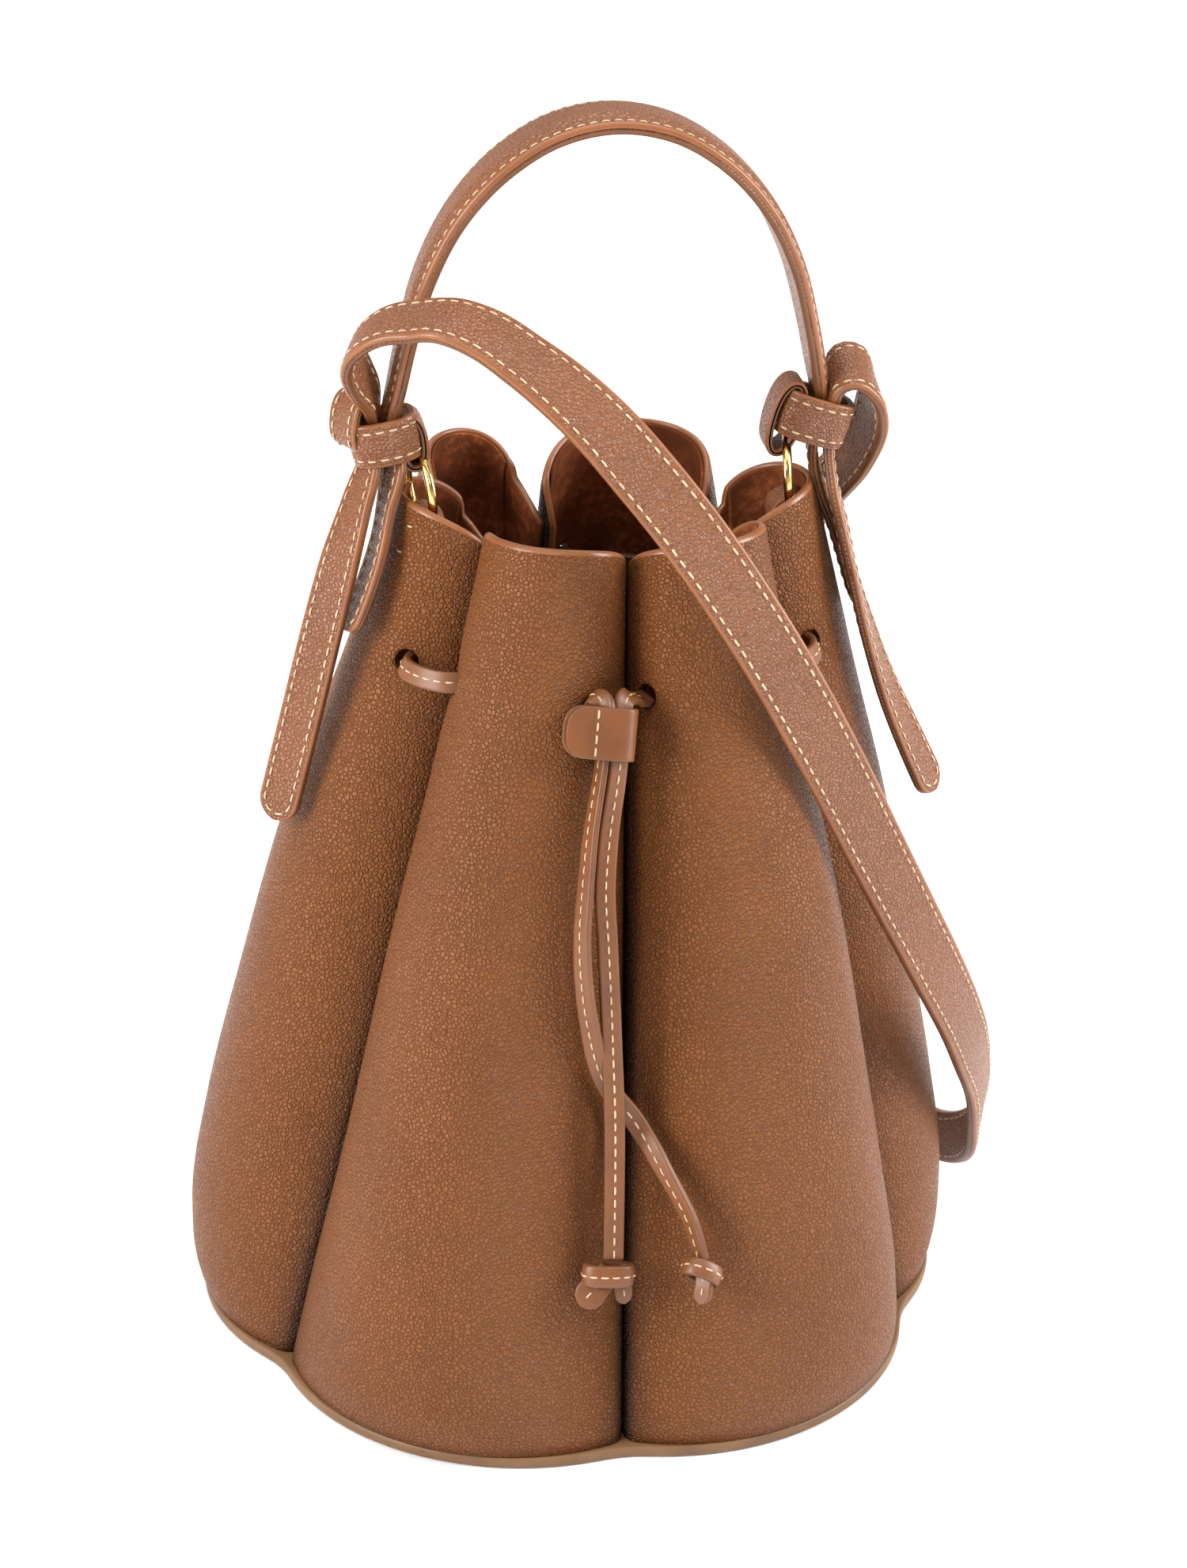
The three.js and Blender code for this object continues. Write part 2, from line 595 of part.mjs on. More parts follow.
const STRAP_BACK = [
  [119.9, 3.5, 40.0, 0.88, -0.45, 0, 15],
  [121.4, 16, 25.2, 0.97, -0.2, 0, 15],
  [118.7, 34, 13.5, 0.95, 0.3, 0, 16],
  [107, 58, 10, 0.86, 0.5, 0, STRAP_WIDTH],
  [88, 82, 9.5, 0.72, 0.7, 0, STRAP_WIDTH],
  [60, 102, 9.5, 0.5, 0.86, 0, STRAP_WIDTH],
  [26, 114, 9.8, 0.2, 0.98, 0, STRAP_WIDTH],
  [-10, 117, 12, -0.1, 1, 0, STRAP_WIDTH],
  [-42, 113, 20, -0.35, 0.93, 0.1, STRAP_WIDTH],
  [-62, 107, 42, -0.45, 0.88, 0.2, STRAP_WIDTH],
  [-58, 103, 72, -0.35, 0.9, 0.2, STRAP_WIDTH],
  [-36, 98, 103, -0.1, 0.96, 0.25, STRAP_WIDTH],
  [-6, 92, 131, 0.1, 0.96, 0.25, STRAP_WIDTH],
  [26, 82, 158, 0.3, 0.92, 0.25, 16],
  [54, 62, 186, 0.55, 0.8, 0.2, 14],
  [72, 36, 212, 0.8, 0.55, 0.15, 12],
  [79, 16, 233, 0.95, 0.2, 0, 11],
  [83.6, 8, 246.3, 1, 0.1, 0, 10],
  [84.4, 5, 257.8, 1, 0, 0.1, 9],
  [79.5, 2, 269.4, 0.6, 0, 0.8, 9],
  [73.5, 1, 274.2, 0, 0, 1, 9],
  [69.0, 0.8, 270, -0.9, 0, 0.4, 8.5],
  [68.2, HANDLE_Y, 263, -1, 0, 0, STRAP_END_WIDTH],
  [68.2, HANDLE_Y, 251, -1, 0, 0, STRAP_END_WIDTH],
];

function shoulderStrapMeshes() {
  return [
    namedMesh("shoulder_strap_front", strapGeometry(STRAP_FRONT, 46, STRAP_THICKNESS), strapLeather),
    namedMesh("shoulder_strap_back", strapGeometry(STRAP_BACK, 60, STRAP_THICKNESS), strapLeather),
  ];
}

// ---------------------------------------------------------------- drawstring
// The neck cord runs inside each petal from hole to hole, and outside across each seam but the front.
function neckRoute() {
  const route = [];
  for (let step = 0; step < PETALS.length; step += 1) {
    const index = (PETALS.length - step) % PETALS.length;
    const [first, last] = PETALS[index].holes.map(rad);
    const inside = (turn) => petalPoint(index, turn, HOLE_HEIGHT, LEATHER + LINING + 3.4);
    const outside = (turn) => petalPoint(index, turn, HOLE_HEIGHT, -1.2);
    const middle = inside(last).add(inside(first)).multiplyScalar(0.5);
    route.push(outside(last), inside(last), middle, inside(first), outside(first));
  }
  return route.slice(1, -1).map((p) => [p.x, p.y, p.z]);
}

const SLIDER_PLACE = point(-0.3, -60.2, 195.7);
const SLIDER_AXIS = point(-0.125, -0.33, -0.936).normalize();

const TAIL_CORD_RIGHT = [
  [7.5, -49.1, 199.5],
  [5, -52.8, 202.6],
  [3, -56.5, 204.1],
  [1.6, -60.2, 195.7],
  [0.6, -62.8, 188.2],
  [-2.6, -68.5, 171],
  [-4.2, -72.5, 157],
  [-3.8, -75.6, 143],
  [-3.0, -80, 118],
  [-2.6, -84.4, 97],
  [-3.1, -89.5, 77],
  [-3.8, -94, 60],
];
const TAIL_CORD_LEFT = [
  [-3.5, -55.3, 205.9],
  [-2, -57.3, 204.7],
  [-2.2, -60.2, 195.7],
  [-3.4, -62.8, 188.2],
  [-7.2, -69.3, 172],
  [-8.8, -72.8, 160],
  [-10.2, -77, 146],
  [-9, -80.6, 123],
  [-3.8, -78.8, 104],
  [3.2, -79.8, 94],
  [10.5, -89, 82],
  [16.5, -95.6, 70],
  [18.8, -98.6, 63],
];
const KNOTS = {
  end_knot_left: [-4.2, -95.4, 53],
  end_knot_right: [19.4, -100.4, 55.6],
};

// Folded tab with a slot for the two cords and a flap with a round end beside it.
function sliderMesh() {
  const sleeve = toSolid(sleeveGeometry(13.4, 7.6, 13.5, 1.5, 4));
  const flapOutline = new THREE.Shape();
  flapOutline.moveTo(0, -6.4);
  flapOutline.lineTo(0, 6.4);
  flapOutline.absarc(-3.4, 2.6, 3.8, Math.PI / 2, Math.PI);
  flapOutline.absarc(-3.4, -2.6, 3.8, Math.PI, 1.5 * Math.PI);
  const flap = new THREE.ExtrudeGeometry(flapOutline, { depth: 3, bevelEnabled: false, curveSegments: 6 });
  flap.rotateX(Math.PI / 2);
  flap.translate(-6.4, -0.6, 0);
  const mesh = namedMesh("drawstring_slider", toGeometry(sleeve.add(toSolid(flap))), strapLeather);
  mesh.quaternion.setFromUnitVectors(point(0, 0, -1), SLIDER_AXIS);
  mesh.position.copy(SLIDER_PLACE);
  return mesh;
}

function endKnotMesh(name, place) {
  const geometry = new THREE.SphereGeometry(1, 12, 8);
  geometry.rotateX(Math.PI / 2);
  const mesh = namedMesh(name, geometry, strapLeather);
  mesh.scale.set(5.6, 4.4, 5.2);
  mesh.position.set(...place);
  return mesh;
}

function drawstringGroup() {
  const group = new THREE.Group();
  group.add(namedMesh("drawstring_neck", cordGeometry(neckRoute(), 78, CORD_WIDTH - 0.6), strapLeather));
  group.add(namedMesh("drawstring_tail_right", cordGeometry(TAIL_CORD_RIGHT, 26, CORD_WIDTH), strapLeather));
  group.add(namedMesh("drawstring_tail_left", cordGeometry(TAIL_CORD_LEFT, 28, CORD_WIDTH), strapLeather));
  group.add(sliderMesh());
  Object.entries(KNOTS).forEach(([name, place]) => group.add(endKnotMesh(name, place)));
  return group;
}

// ---------------------------------------------------------------- assembly
const bag = new THREE.Group();
bag.add(baseGroup());
PETALS.forEach((petal, index) => {
  bag.add(petalMesh(index));
  bag.add(liningMesh(index));
});
[-1, 1].forEach((side) => {
  bag.add(ringTabMesh(side), ringMesh(side), ...knotMeshes(side, side < 0 ? 260.5 : 267));
});
bag.add(outerTurnMesh());
bag.add(...handleMeshes(), ...tailMeshes(), ...shoulderStrapMeshes());
bag.add(drawstringGroup());

export default bag;
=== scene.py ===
import math
from types import SimpleNamespace

import bmesh
import bpy
import numpy as np
from mathutils import Matrix, Vector


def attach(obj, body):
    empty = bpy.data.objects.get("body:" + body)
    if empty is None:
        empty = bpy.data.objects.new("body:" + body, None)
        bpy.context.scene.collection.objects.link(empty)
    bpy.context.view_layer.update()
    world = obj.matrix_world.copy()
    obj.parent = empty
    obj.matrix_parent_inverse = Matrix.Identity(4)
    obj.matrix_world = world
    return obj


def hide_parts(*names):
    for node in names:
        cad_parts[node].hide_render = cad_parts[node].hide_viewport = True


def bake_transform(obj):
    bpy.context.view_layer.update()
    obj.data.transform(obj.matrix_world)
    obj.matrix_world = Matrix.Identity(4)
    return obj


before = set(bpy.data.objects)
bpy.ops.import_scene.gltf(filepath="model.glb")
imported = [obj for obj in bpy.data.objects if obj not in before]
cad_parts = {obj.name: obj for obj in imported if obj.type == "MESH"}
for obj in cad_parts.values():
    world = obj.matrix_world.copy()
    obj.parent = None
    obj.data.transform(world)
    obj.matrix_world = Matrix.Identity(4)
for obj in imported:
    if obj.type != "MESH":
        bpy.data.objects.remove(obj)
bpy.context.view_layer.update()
MM = 0.001

# ---------- dimensions, in millimetres
BASE_SEAM_RADIUS = 95.5
MOUTH_SEAM_RADIUS = 34
NOTCH_HEIGHT = 227
PETAL_HEIGHT = 241
MOUTH_SHIFT = (6.5, 2.5)
HANDLE_Y = 1
LEATHER = 2.0
LINING = 0.8
SEAM_GAP = 0.15
SEAM_ROLL = 5
SEAM_ROLL_HIGH = 12
FLANGE = 5
# Share of full painted shade at the edge of a petal's arc, where it turns into the fold.
FOLD_SHADE_SHARE = 0.45
SOLE_THICKNESS = 3
SOLE_LIP = 1.3
HOLE_RADIUS = 3.3
HOLE_HEIGHT = 200
RING_RADIUS = 10.3
WIRE_RADIUS = 1.2
RING_HEIGHT = 241
RING_REACH = {"left": 48.6, "right": 49.8}
RING_YAW = 0.2
RING_LEAN = 0.08
TAB_THICKNESS = 1.2
TAB_WIDTH = 9.5
KNOT_THICKNESS = 2.0
KNOT_TURN_THICKNESS = 2.2
RING_LOOP_WIDTH = 10
TAIL_THICKNESS = 2.6
STRAP_THICKNESS = 3
STRAP_WIDTH = 17
HANDLE_TOP = 339
HANDLE_WIDTH = 22
HANDLE_FOCUS = 262
HANDLE_THICKNESS = 3.4
CORD_WIDTH = 5.4
CORD_THICKNESS = 1.8
NECK_WIDTH = 5.6
SLIDER_THICKNESS = 1.45
SLIDER_WIDTH = 13.6
SLIDER_CORNER = 5.0
STITCH_PITCH = 3.6
BASE_CLEARANCE = 0.15

# Radius of the petals' outer faces at each height.
PETAL_PROFILE = [(0, 104), (8, 107), (26, 108.3), (60, 103.4), (100, 94.6), (150, 81.8), (200, 66), (241, 54)]
# Seam directions in degrees, starting left of the front left petal.
SEAMS_AT_BASE = [-154, -90, -24, 34, 92, 149, 206]
SEAMS_AT_MOUTH = [-150, -90, -30, 25, 112, 155, 210]
PETALS = ["front_left", "front_right", "right", "back_right", "back_left", "left"]
# How much further out each petal stands at its rim, and halfway up.
BULGES = [0, 0, 1, -5, 3, 2]
SWELLS = [0, 0, -1.5, 0, 0, 1.6]
# Tack stitches as (turn in degrees, height) on the left petal, and each petal's holes as turns.
TACKS = [(36, 235), (32, 228)]
HOLES = [(-66, 61), (-86, 66), (-66, 66), (-66, 66), (-66, 66), (-66, 64)]


# ---------- camera
CAMERA_PLACE = (-0.153, -0.9455, 0.6054)
CAMERA_DIRECTION = (0.1485, 0.8921, -0.4268)
CAMERA_ROLL = math.radians(1.01)


def add_camera():
    data = bpy.data.cameras.new("camera")
    data.sensor_fit = "VERTICAL"
    data.sensor_height = 36
    data.lens = 89.1
    data.clip_start = 0.05
    data.clip_end = 30
    camera = bpy.data.objects.new("camera", data)
    bpy.context.collection.objects.link(camera)
    turn = Vector(CAMERA_DIRECTION).to_track_quat("-Z", "Y").to_matrix().to_4x4()
    camera.matrix_world = Matrix.Translation(CAMERA_PLACE) @ turn @ Matrix.Rotation(CAMERA_ROLL, 4, "Z")
    bpy.context.scene.camera = camera


add_camera()


# ---------- materials
def srgb(r, g, b):
    """Linear colour from an sRGB one in 0 to 255."""
    return tuple(c / 3294.6 if c <= 10 else ((c / 255 + 0.055) / 1.055) ** 2.4 for c in (r, g, b)) + (1,)


def new_material(name, colour, roughness, metallic=0.0):
    material = bpy.data.materials.new(name)
    material.use_nodes = True
    shader = material.node_tree.nodes["Principled BSDF"]
    shader.inputs["Base Color"].default_value = colour
    shader.inputs["Roughness"].default_value = roughness
    shader.inputs["Metallic"].default_value = metallic
    return material, material.node_tree, shader


def set_values(tree, node, **values):
    """Sets a node's inputs and settings by name, with _ for a space. A socket is linked instead."""
    for name, value in values.items():
        socket = node.inputs.get(name.replace("_", " "))
        if socket is None:
            setattr(node, name, value)
        elif isinstance(value, bpy.types.NodeSocket):
            tree.links.new(value, socket)
        else:
            socket.default_value = value
    return node


def add_node(tree, kind, **values):
    return set_values(tree, tree.nodes.new("ShaderNode" + kind), **values)


def noise(tree, place, scale, detail, roughness=0.5):
    return add_node(tree, "TexNoise", Vector=place, Scale=scale, Detail=detail, Roughness=roughness)


def object_place(tree):
    return add_node(tree, "TexCoord").outputs["Object"]


def bent_place(tree, place, scale):
    """A place bent a little, so that cells of 1 / scale metres aren't regular."""
    wobble = noise(tree, place, scale * 0.55, 1.0).outputs["Color"]
    centred = add_node(tree, "VectorMath", operation="SUBTRACT", Vector=wobble)
    centred.inputs[1].default_value = (0.5, 0.5, 0.5)
    small = add_node(tree, "VectorMath", operation="SCALE", Vector=centred.outputs[0], Scale=0.7 / scale)
    moved = add_node(tree, "VectorMath", operation="ADD", Vector=place)
    tree.links.new(small.outputs[0], moved.inputs[1])
    return moved.outputs[0]


def ramp(tree, source, low, high, low_value=0.0, high_value=1.0):
    node = add_node(tree, "MapRange", interpolation_type="SMOOTHSTEP", Value=source)
    set_values(tree, node, From_Min=low, From_Max=high, To_Min=low_value, To_Max=high_value)
    return node.outputs["Result"]


def mix_colour(tree, factor, a, b):
    node = add_node(tree, "Mix", data_type="RGBA")
    tree.links.new(factor, node.inputs[0])
    for socket, value in ((node.inputs[6], a), (node.inputs[7], b)):
        if isinstance(value, tuple):
            socket.default_value = value
        else:
            tree.links.new(value, socket)
    return node.outputs[2]


def bump(tree, source, height):
    node = add_node(tree, "Bump", Strength=1.0, Distance=height * MM, Height=source)
    return node.outputs["Normal"]


def dimmed(colour, share):
    return tuple(share * c for c in colour[:3]) + (1,)


def grained_leather(name, light, mid, crease, cell, roughness, height, gloss):
    """Pebbled leather: rounded cells parted by narrow creases, with a finer wrinkle over them. A
    mesh attribute paints shade into the folds between the petals, darkening the colour there. Sizes are in
    millimetres."""
    material, tree, shader = new_material(name, mid, roughness)
    place = object_place(tree)
    scale = 1000 / cell
    cells = add_node(tree, "TexVoronoi", feature="DISTANCE_TO_EDGE", Scale=scale)
    set_values(tree, cells, Vector=bent_place(tree, place, scale))
    distance = cells.outputs["Distance"]
    patches = ramp(tree, noise(tree, place, 28.0, 2.0).outputs["Fac"], 0.3, 0.7)
    body = mix_colour(tree, patches, mid, light)
    colour = mix_colour(tree, ramp(tree, distance, 0.0, 0.1), crease, body)
    # Painted shade in the folds between the petals: a mesh attribute darkens the colour towards a tenth of
    # the crease colour.
    fold_shade = add_node(tree, "Attribute", attribute_name="fold_shade")
    colour = mix_colour(tree, ramp(tree, fold_shade.outputs["Fac"], 0.0, 1.0), colour, dimmed(crease, 0.1))
    rough = ramp(tree, distance, 0.0, 0.2, roughness + 0.2, roughness)
    wrinkle = noise(tree, place, 3200 / cell, 3.0, 0.6).outputs["Fac"]
    relief = add_node(tree, "Math", operation="MULTIPLY_ADD")
    tree.links.new(wrinkle, relief.inputs[0])
    relief.inputs[1].default_value = 0.35
    tree.links.new(ramp(tree, distance, 0.0, 0.22), relief.inputs[2])
    normal = bump(tree, relief.outputs[0], height)
    set_values(tree, shader, Base_Color=colour, Roughness=rough, Normal=normal, Specular_IOR_Level=gloss)
    return material


def smooth_leather(name, colour, dark, roughness):
    """Painted edge or plain leather: nearly smooth, with a slow change of tone."""
    material, tree, shader = new_material(name, colour, roughness)
    place = object_place(tree)
    slow = ramp(tree, noise(tree, place, 90.0, 3.0).outputs["Fac"], 0.3, 0.75)
    normal = bump(tree, noise(tree, place, 1800.0, 2.0).outputs["Fac"], 0.02)
    set_values(tree, shader, Base_Color=mix_colour(tree, slow, colour, dark), Normal=normal)
    return material


def suede(name, light, dark):
    """Matt suede with a fine nap and patches that are brushed the other way."""
    material, tree, shader = new_material(name, dark, 0.95)
    set_values(tree, shader, Sheen_Weight=0.25, Sheen_Roughness=0.5, Sheen_Tint=light)
    set_values(tree, shader, Specular_IOR_Level=0.15)
    place = object_place(tree)
    nap = noise(tree, place, 420.0, 6.0, 0.7).outputs["Fac"]
    tone = mix_colour(tree, ramp(tree, nap, 0.42, 0.72), dark, light)
    brushed = ramp(tree, noise(tree, place, 60.0, 3.0).outputs["Fac"], 0.35, 0.65)
    colour = mix_colour(tree, brushed, dimmed(dark, 0.6), tone)
    set_values(tree, shader, Base_Color=colour, Normal=bump(tree, nap, 0.12))
    return material


GRAIN = grained_leather(
    "grained_leather", srgb(122, 69, 23), srgb(115, 63, 20), srgb(96, 51, 16), 1.15, 0.38, 0.36, 0.3
)
# Partly painted light: the strap leather is the body leather made lighter and paler, standing for the sheen
# its upward faces catch; its finer grain and stronger gloss are its own.
STRAP = grained_leather(
    "strap_leather", srgb(134, 79, 41), srgb(126, 73, 36), srgb(94, 52, 26), 1.1, 0.3, 0.24, 0.55
)
EDGE = smooth_leather("edge_paint", srgb(136, 82, 44), srgb(124, 72, 38), 0.34)
EDGE_DARK = smooth_leather("edge_paint_inner", srgb(110, 66, 34), srgb(96, 56, 28), 0.4)
SOLE = smooth_leather("sole_leather", srgb(118, 84, 52), srgb(102, 70, 42), 0.5)
SUEDE = suede("suede", srgb(176, 100, 60), srgb(120, 62, 34))
BOARD = smooth_leather("board", srgb(176, 152, 116), srgb(160, 134, 98), 0.9)
THREAD = smooth_leather("thread", srgb(200, 176, 142), srgb(180, 152, 118), 0.6)
HOLE = smooth_leather("hole_edge", srgb(60, 34, 18), srgb(40, 22, 12), 0.7)
GOLD = new_material("gold_metal", srgb(226, 196, 120), 0.16, 1.0)[0]
RIBBON = smooth_leather("ribbon_leather", srgb(116, 67, 32), srgb(104, 59, 27), 0.42)
LEATHERS = [STRAP, EDGE, EDGE_DARK]
RIBBONS = [RIBBON, EDGE_DARK, EDGE_DARK]


# ---------- mesh helpers
def mesh_object(name, points, faces, materials, face_materials=None):
    mesh = bpy.data.meshes.new(name)
    mesh.from_pydata((np.asarray(points, float) * MM).tolist(), [], faces)
    for material in materials:
        mesh.materials.append(material)
    if face_materials is not None:
        mesh.polygons.foreach_set("material_index", np.asarray(face_materials, np.int32))
    mesh.polygons.foreach_set("use_smooth", [True] * len(mesh.polygons))
    work = bmesh.new()
    work.from_mesh(mesh)
    bmesh.ops.recalc_face_normals(work, faces=work.faces)
    work.to_mesh(mesh)
    work.free()
    mesh.update()
    made = bpy.data.objects.new(name, mesh)
    bpy.context.collection.objects.link(made)
    return made


def add_piece(piece, slot, body, *nodes):
    """Hides the CAD nodes that a piece replaces and attaches it to the body it rides. The material slot is
    not used.
    """
    if nodes:
        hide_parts(*nodes)
    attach(piece, body)


def normalised(v):
    return v / np.maximum(np.linalg.norm(v, axis=-1, keepdims=True), 1e-9)


def distances(points):
    """How far along a line of points each of them is."""
    return np.concatenate([[0], np.cumsum(np.linalg.norm(np.diff(points, axis=0), axis=1))])


def hermite(knots, values, at):
    """Values of a flowing curve through the knots, at the places asked."""
    slopes = np.gradient(values, knots, axis=0)
    i = np.clip(np.searchsorted(knots, at, side="right") - 1, 0, len(knots) - 2)
    span = (knots[i + 1] - knots[i])[:, None]
    t = (at - knots[i])[:, None] / span
    a, b = values[i], values[i + 1]
    ma, mb = slopes[i] * span, slopes[i + 1] * span
    from_a = (2 * t**3 - 3 * t**2 + 1) * a + (t**3 - 2 * t**2 + t) * ma
    return from_a + (3 * t**2 - 2 * t**3) * b + (t**3 - t**2) * mb


def frames_along(stations, spacing, tip=False):
    """Frames of a strap at even steps. A station is x, y, z, face x, y, z and width. A tip rounds off
    the far end."""
    data = np.array(stations, float)
    knots = distances(data[:, :3])
    fine = np.linspace(0, knots[-1], max(60, int(knots[-1] * 3)))
    length = distances(hermite(knots, data[:, :3], fine))
    total = length[-1]
    at = np.linspace(0, total, max(6, round(total / spacing)) + 1)
    if tip:
        r = data[-1, 6] / 2
        round_off = np.sin(np.linspace(0, math.pi / 2, 10))
        at = np.concatenate([at[at < total - r * 1.02], total - r + r * round_off])
    values = hermite(knots, data, np.interp(at, length, fine))
    place, face, width = values[:, :3], values[:, 3:6], values[:, 6].copy()
    along = normalised(np.gradient(place, at, axis=0))
    across = normalised(np.cross(along, face))
    out = np.cross(across, along)
    if tip:
        r = width / 2
        inside = np.clip(1 - (1 - np.minimum(total - at, r) / r) ** 2, 0.0009, 1)
        width = width * np.sqrt(inside)
    return new_frames(place, along, across, out, width, at, values[:, 6], total)


def strap_section(width, thickness, crown=0.0, pad=None):
    """Section of a strap of two layers with painted edges: offsets across and out, for each width.
    crown rounds its outer face. pad is (share of the width, height) of a raised middle."""
    half = width[:, None] / 2
    edge = np.minimum(thickness * 0.3, half * 0.6)
    lie = np.linspace(1, -1, 13)[None, :]
    if pad:
        right = [1, 0.9, pad[0] + 0.06, pad[0], pad[0] - 0.1, 0.3]
        lie = np.array([right + [0] + [-share for share in right[::-1]]])
    top = thickness / 2 + crown * (1 - lie**2)
    if pad:
        top = top + pad[1] * np.clip((pad[0] + 0.05 - np.abs(lie)) / 0.12, 0, 1)
    top = np.broadcast_to(top, (len(width), lie.shape[1]))
    across = [(half - edge) * lie]
    out = [top]
    turn = np.linspace(math.pi / 2, 0, 4)[None, 1:]
    low = -thickness / 2 + edge

    def corner(side, height, sign, angles):
        across.append(side * (half - edge + edge * np.cos(angles)))
        out.append(height + sign * edge * np.sin(angles))

    def groove(side):
        across.append(side * (half - np.array([[0.0, 0.22, 0.0]]) * np.minimum(1, half)))
        out.append(np.broadcast_to(np.array([[0.22, 0.0, -0.22]]), (len(width), 3)))

    corner(-1, thickness / 2 - edge, 1, turn)
    groove(-1)
    corner(-1, low, -1, turn[:, ::-1])
    bottom = np.linspace(-1, 1, 7)[None, :]
    across.append((half - edge) * bottom)
    out.append(np.full((len(width), 7), -thickness / 2))
    corner(1, low, -1, turn)
    groove(1)
    corner(1, thickness / 2 - edge, 1, turn[:, ::-1])
    kinds = [0] * 12 + [1] * 4 + [1, 2] + [2] * 4 + [0] * 6 + [2] * 4 + [2, 1] + [1] * 4
    return np.concatenate(across, 1), np.concatenate(out, 1), kinds


def new_frames(place, along, across, out, width, at, full, total):
    """Frames of a strap. full is the width before a tip is rounded off."""
    return SimpleNamespace(
        place=place, along=along, across=across, out=out, width=width, at=at, full=full, total=total
    )


def tube_faces(count, sides, base=0, closed=False):
    """Faces over rings of points, with a cap at each end unless the tube closes on itself."""
    faces = []
    for i in range(count if closed else count - 1):
        a, b = base + i * sides, base + (i + 1) % count * sides
        for k in range(sides):
            n = (k + 1) % sides
            faces.append((a + k, b + k, b + n, a + n))
    if not closed:
        last = base + (count - 1) * sides
        faces += [tuple(base + k for k in range(sides)), tuple(last + k for k in range(sides))[::-1]]
    return faces


def loft(name, rings, kinds, materials, closed=False):
    """Skin over rings of points. kinds gives each side's material, and caps have the second one."""
    count, sides = rings.shape[:2]
    face_kinds = kinds * count if closed else kinds * (count - 1) + [1, 1]
    faces = tube_faces(count, sides, closed=closed)
    return mesh_object(name, rings.reshape(-1, 3), faces, materials, face_kinds)


def strap(name, frames, thickness, materials=None, crown=0.0, pad=None, closed=False):
    a, b, kinds = strap_section(frames.width, thickness, crown, pad)
    rings = (
        frames.place[:, None]
        + a[..., None] * frames.across[:, None]
        + b[..., None] * frames.out[:, None]
    )
    return loft(name, rings, kinds, materials or LEATHERS, closed)


def loop_frames(centre, side, up, half_side, half_up, width, power, count):
    """Frames of a strap bent into a closed oval in the plane of side and up. A power over 2 makes the
    oval squarer."""
    angle = np.linspace(0, 2 * math.pi, count, endpoint=False)

    def squared(v):
        return (np.sign(v) * np.abs(v) ** (2 / power))[:, None]

    side, up = normalised(np.array(side, float)), normalised(np.array(up, float))
    place = np.array(centre, float) + half_side * squared(np.cos(angle)) * side
    place = place + half_up * squared(np.sin(angle)) * up
    around = np.concatenate([place[-1:], place, place[:1]])
    along = normalised(around[2:] - around[:-2])
    across = np.broadcast_to(normalised(np.cross(side, up)), place.shape)
    out = normalised(np.cross(along, across))
    if np.sum(out[0] * (place[0] - np.array(centre))) < 0:
        out = -out
    length = distances(around[1:])
    width = np.full(count, float(width))
    return new_frames(place, along, across, out, width, length[:-1], width, length[-1])


# ---------- stitches
# Place along a stitch as a share of its length, lift off the surface and half width.
HALF_STITCH = [(0.15, 0.15, 0.29), (0.4, 0.04, 0.25), (0.5, -0.25, 0.14)]
STITCH_SHAPE = [(-place, lift, half) for place, lift, half in HALF_STITCH[::-1]] + HALF_STITCH


def stitch_rows(name, rows, body, pitch=STITCH_PITCH, length=2.5, size=1.0):
    """Thread along rows. A row is a line of points with the surface's normal at each."""
    points, faces = [], []

    def value_at(values, at, where):
        return np.array([np.interp(where, at, values[:, k]) for k in range(3)])

    ring = [(math.cos(k * math.pi / 3), math.sin(k * math.pi / 3)) for k in range(6)]
    for line, normals in rows:
        at = distances(line)
        count = max(1, round(at[-1] / pitch))
        gap = at[-1] / count
        for i in range(count):
            ends = [(i + 0.5) * gap + offset * length for offset, _, _ in STITCH_SHAPE]
            base = len(points)
            for where, (_, lift, half) in zip(ends, STITCH_SHAPE):
                where = min(max(where, 0), at[-1])
                p = value_at(line, at, where)
                ahead = value_at(line, at, min(where + 0.4, at[-1]))
                behind = value_at(line, at, max(where - 0.4, 0))
                normal = normalised(value_at(normals, at, where))
                along = normalised(ahead - behind)
                side = np.cross(along, normal)
                for c, s in ring:
                    points.append(p + size * (half * c * side + (lift + 0.2 * s) * normal))
            faces += tube_faces(len(STITCH_SHAPE), len(ring), base)
    made = mesh_object(name, points, faces, [THREAD])
    if body:
        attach(made, body)
    return made


def side_row(frames, share, inset, height, first=0.0, last=None):
    """Line along a strap, inset from one edge (share is +1 or -1, or 0 for the middle)."""
    last = frames.total if last is None else last
    keep = (frames.at >= first) & (frames.at <= last)
    offset = share * (frames.full / 2 - inset)
    line = frames.place + offset[:, None] * frames.across + height * frames.out
    side = 1 if height >= 0 else -1
    return line[keep], side * frames.out[keep]


def closed_row(frames, share, inset, height):
    """Line all round a closed loop of strap."""
    line, normals = side_row(frames, share, inset, height)
    return np.concatenate([line, line[:1]]), np.concatenate([normals, normals[:1]])


def tip_row(frames, inset, height, first):
    """Row down one edge of a strap, round its tip and back up the other edge."""
    r = frames.full[-1] / 2
    right = side_row(frames, 1, inset, height, first, frames.total - r)
    left = side_row(frames, -1, inset, height, first, frames.total - r)
    i = int(np.searchsorted(frames.at, frames.total - r))
    centre = frames.place[i] + height * frames.out[i]
    angles = np.linspace(0, math.pi, 14)[1:-1, None]
    bend = centre + (r - inset) * (np.cos(angles) * frames.across[i] + np.sin(angles) * frames.along[i])
    line = np.concatenate([right[0], bend, left[0][::-1]])
    normals = np.concatenate([right[1], np.broadcast_to(frames.out[i], bend.shape), left[1][::-1]])
    return line, normals


# ---------- petals
def mix(a, b, t):
    return a + (b - a) * t


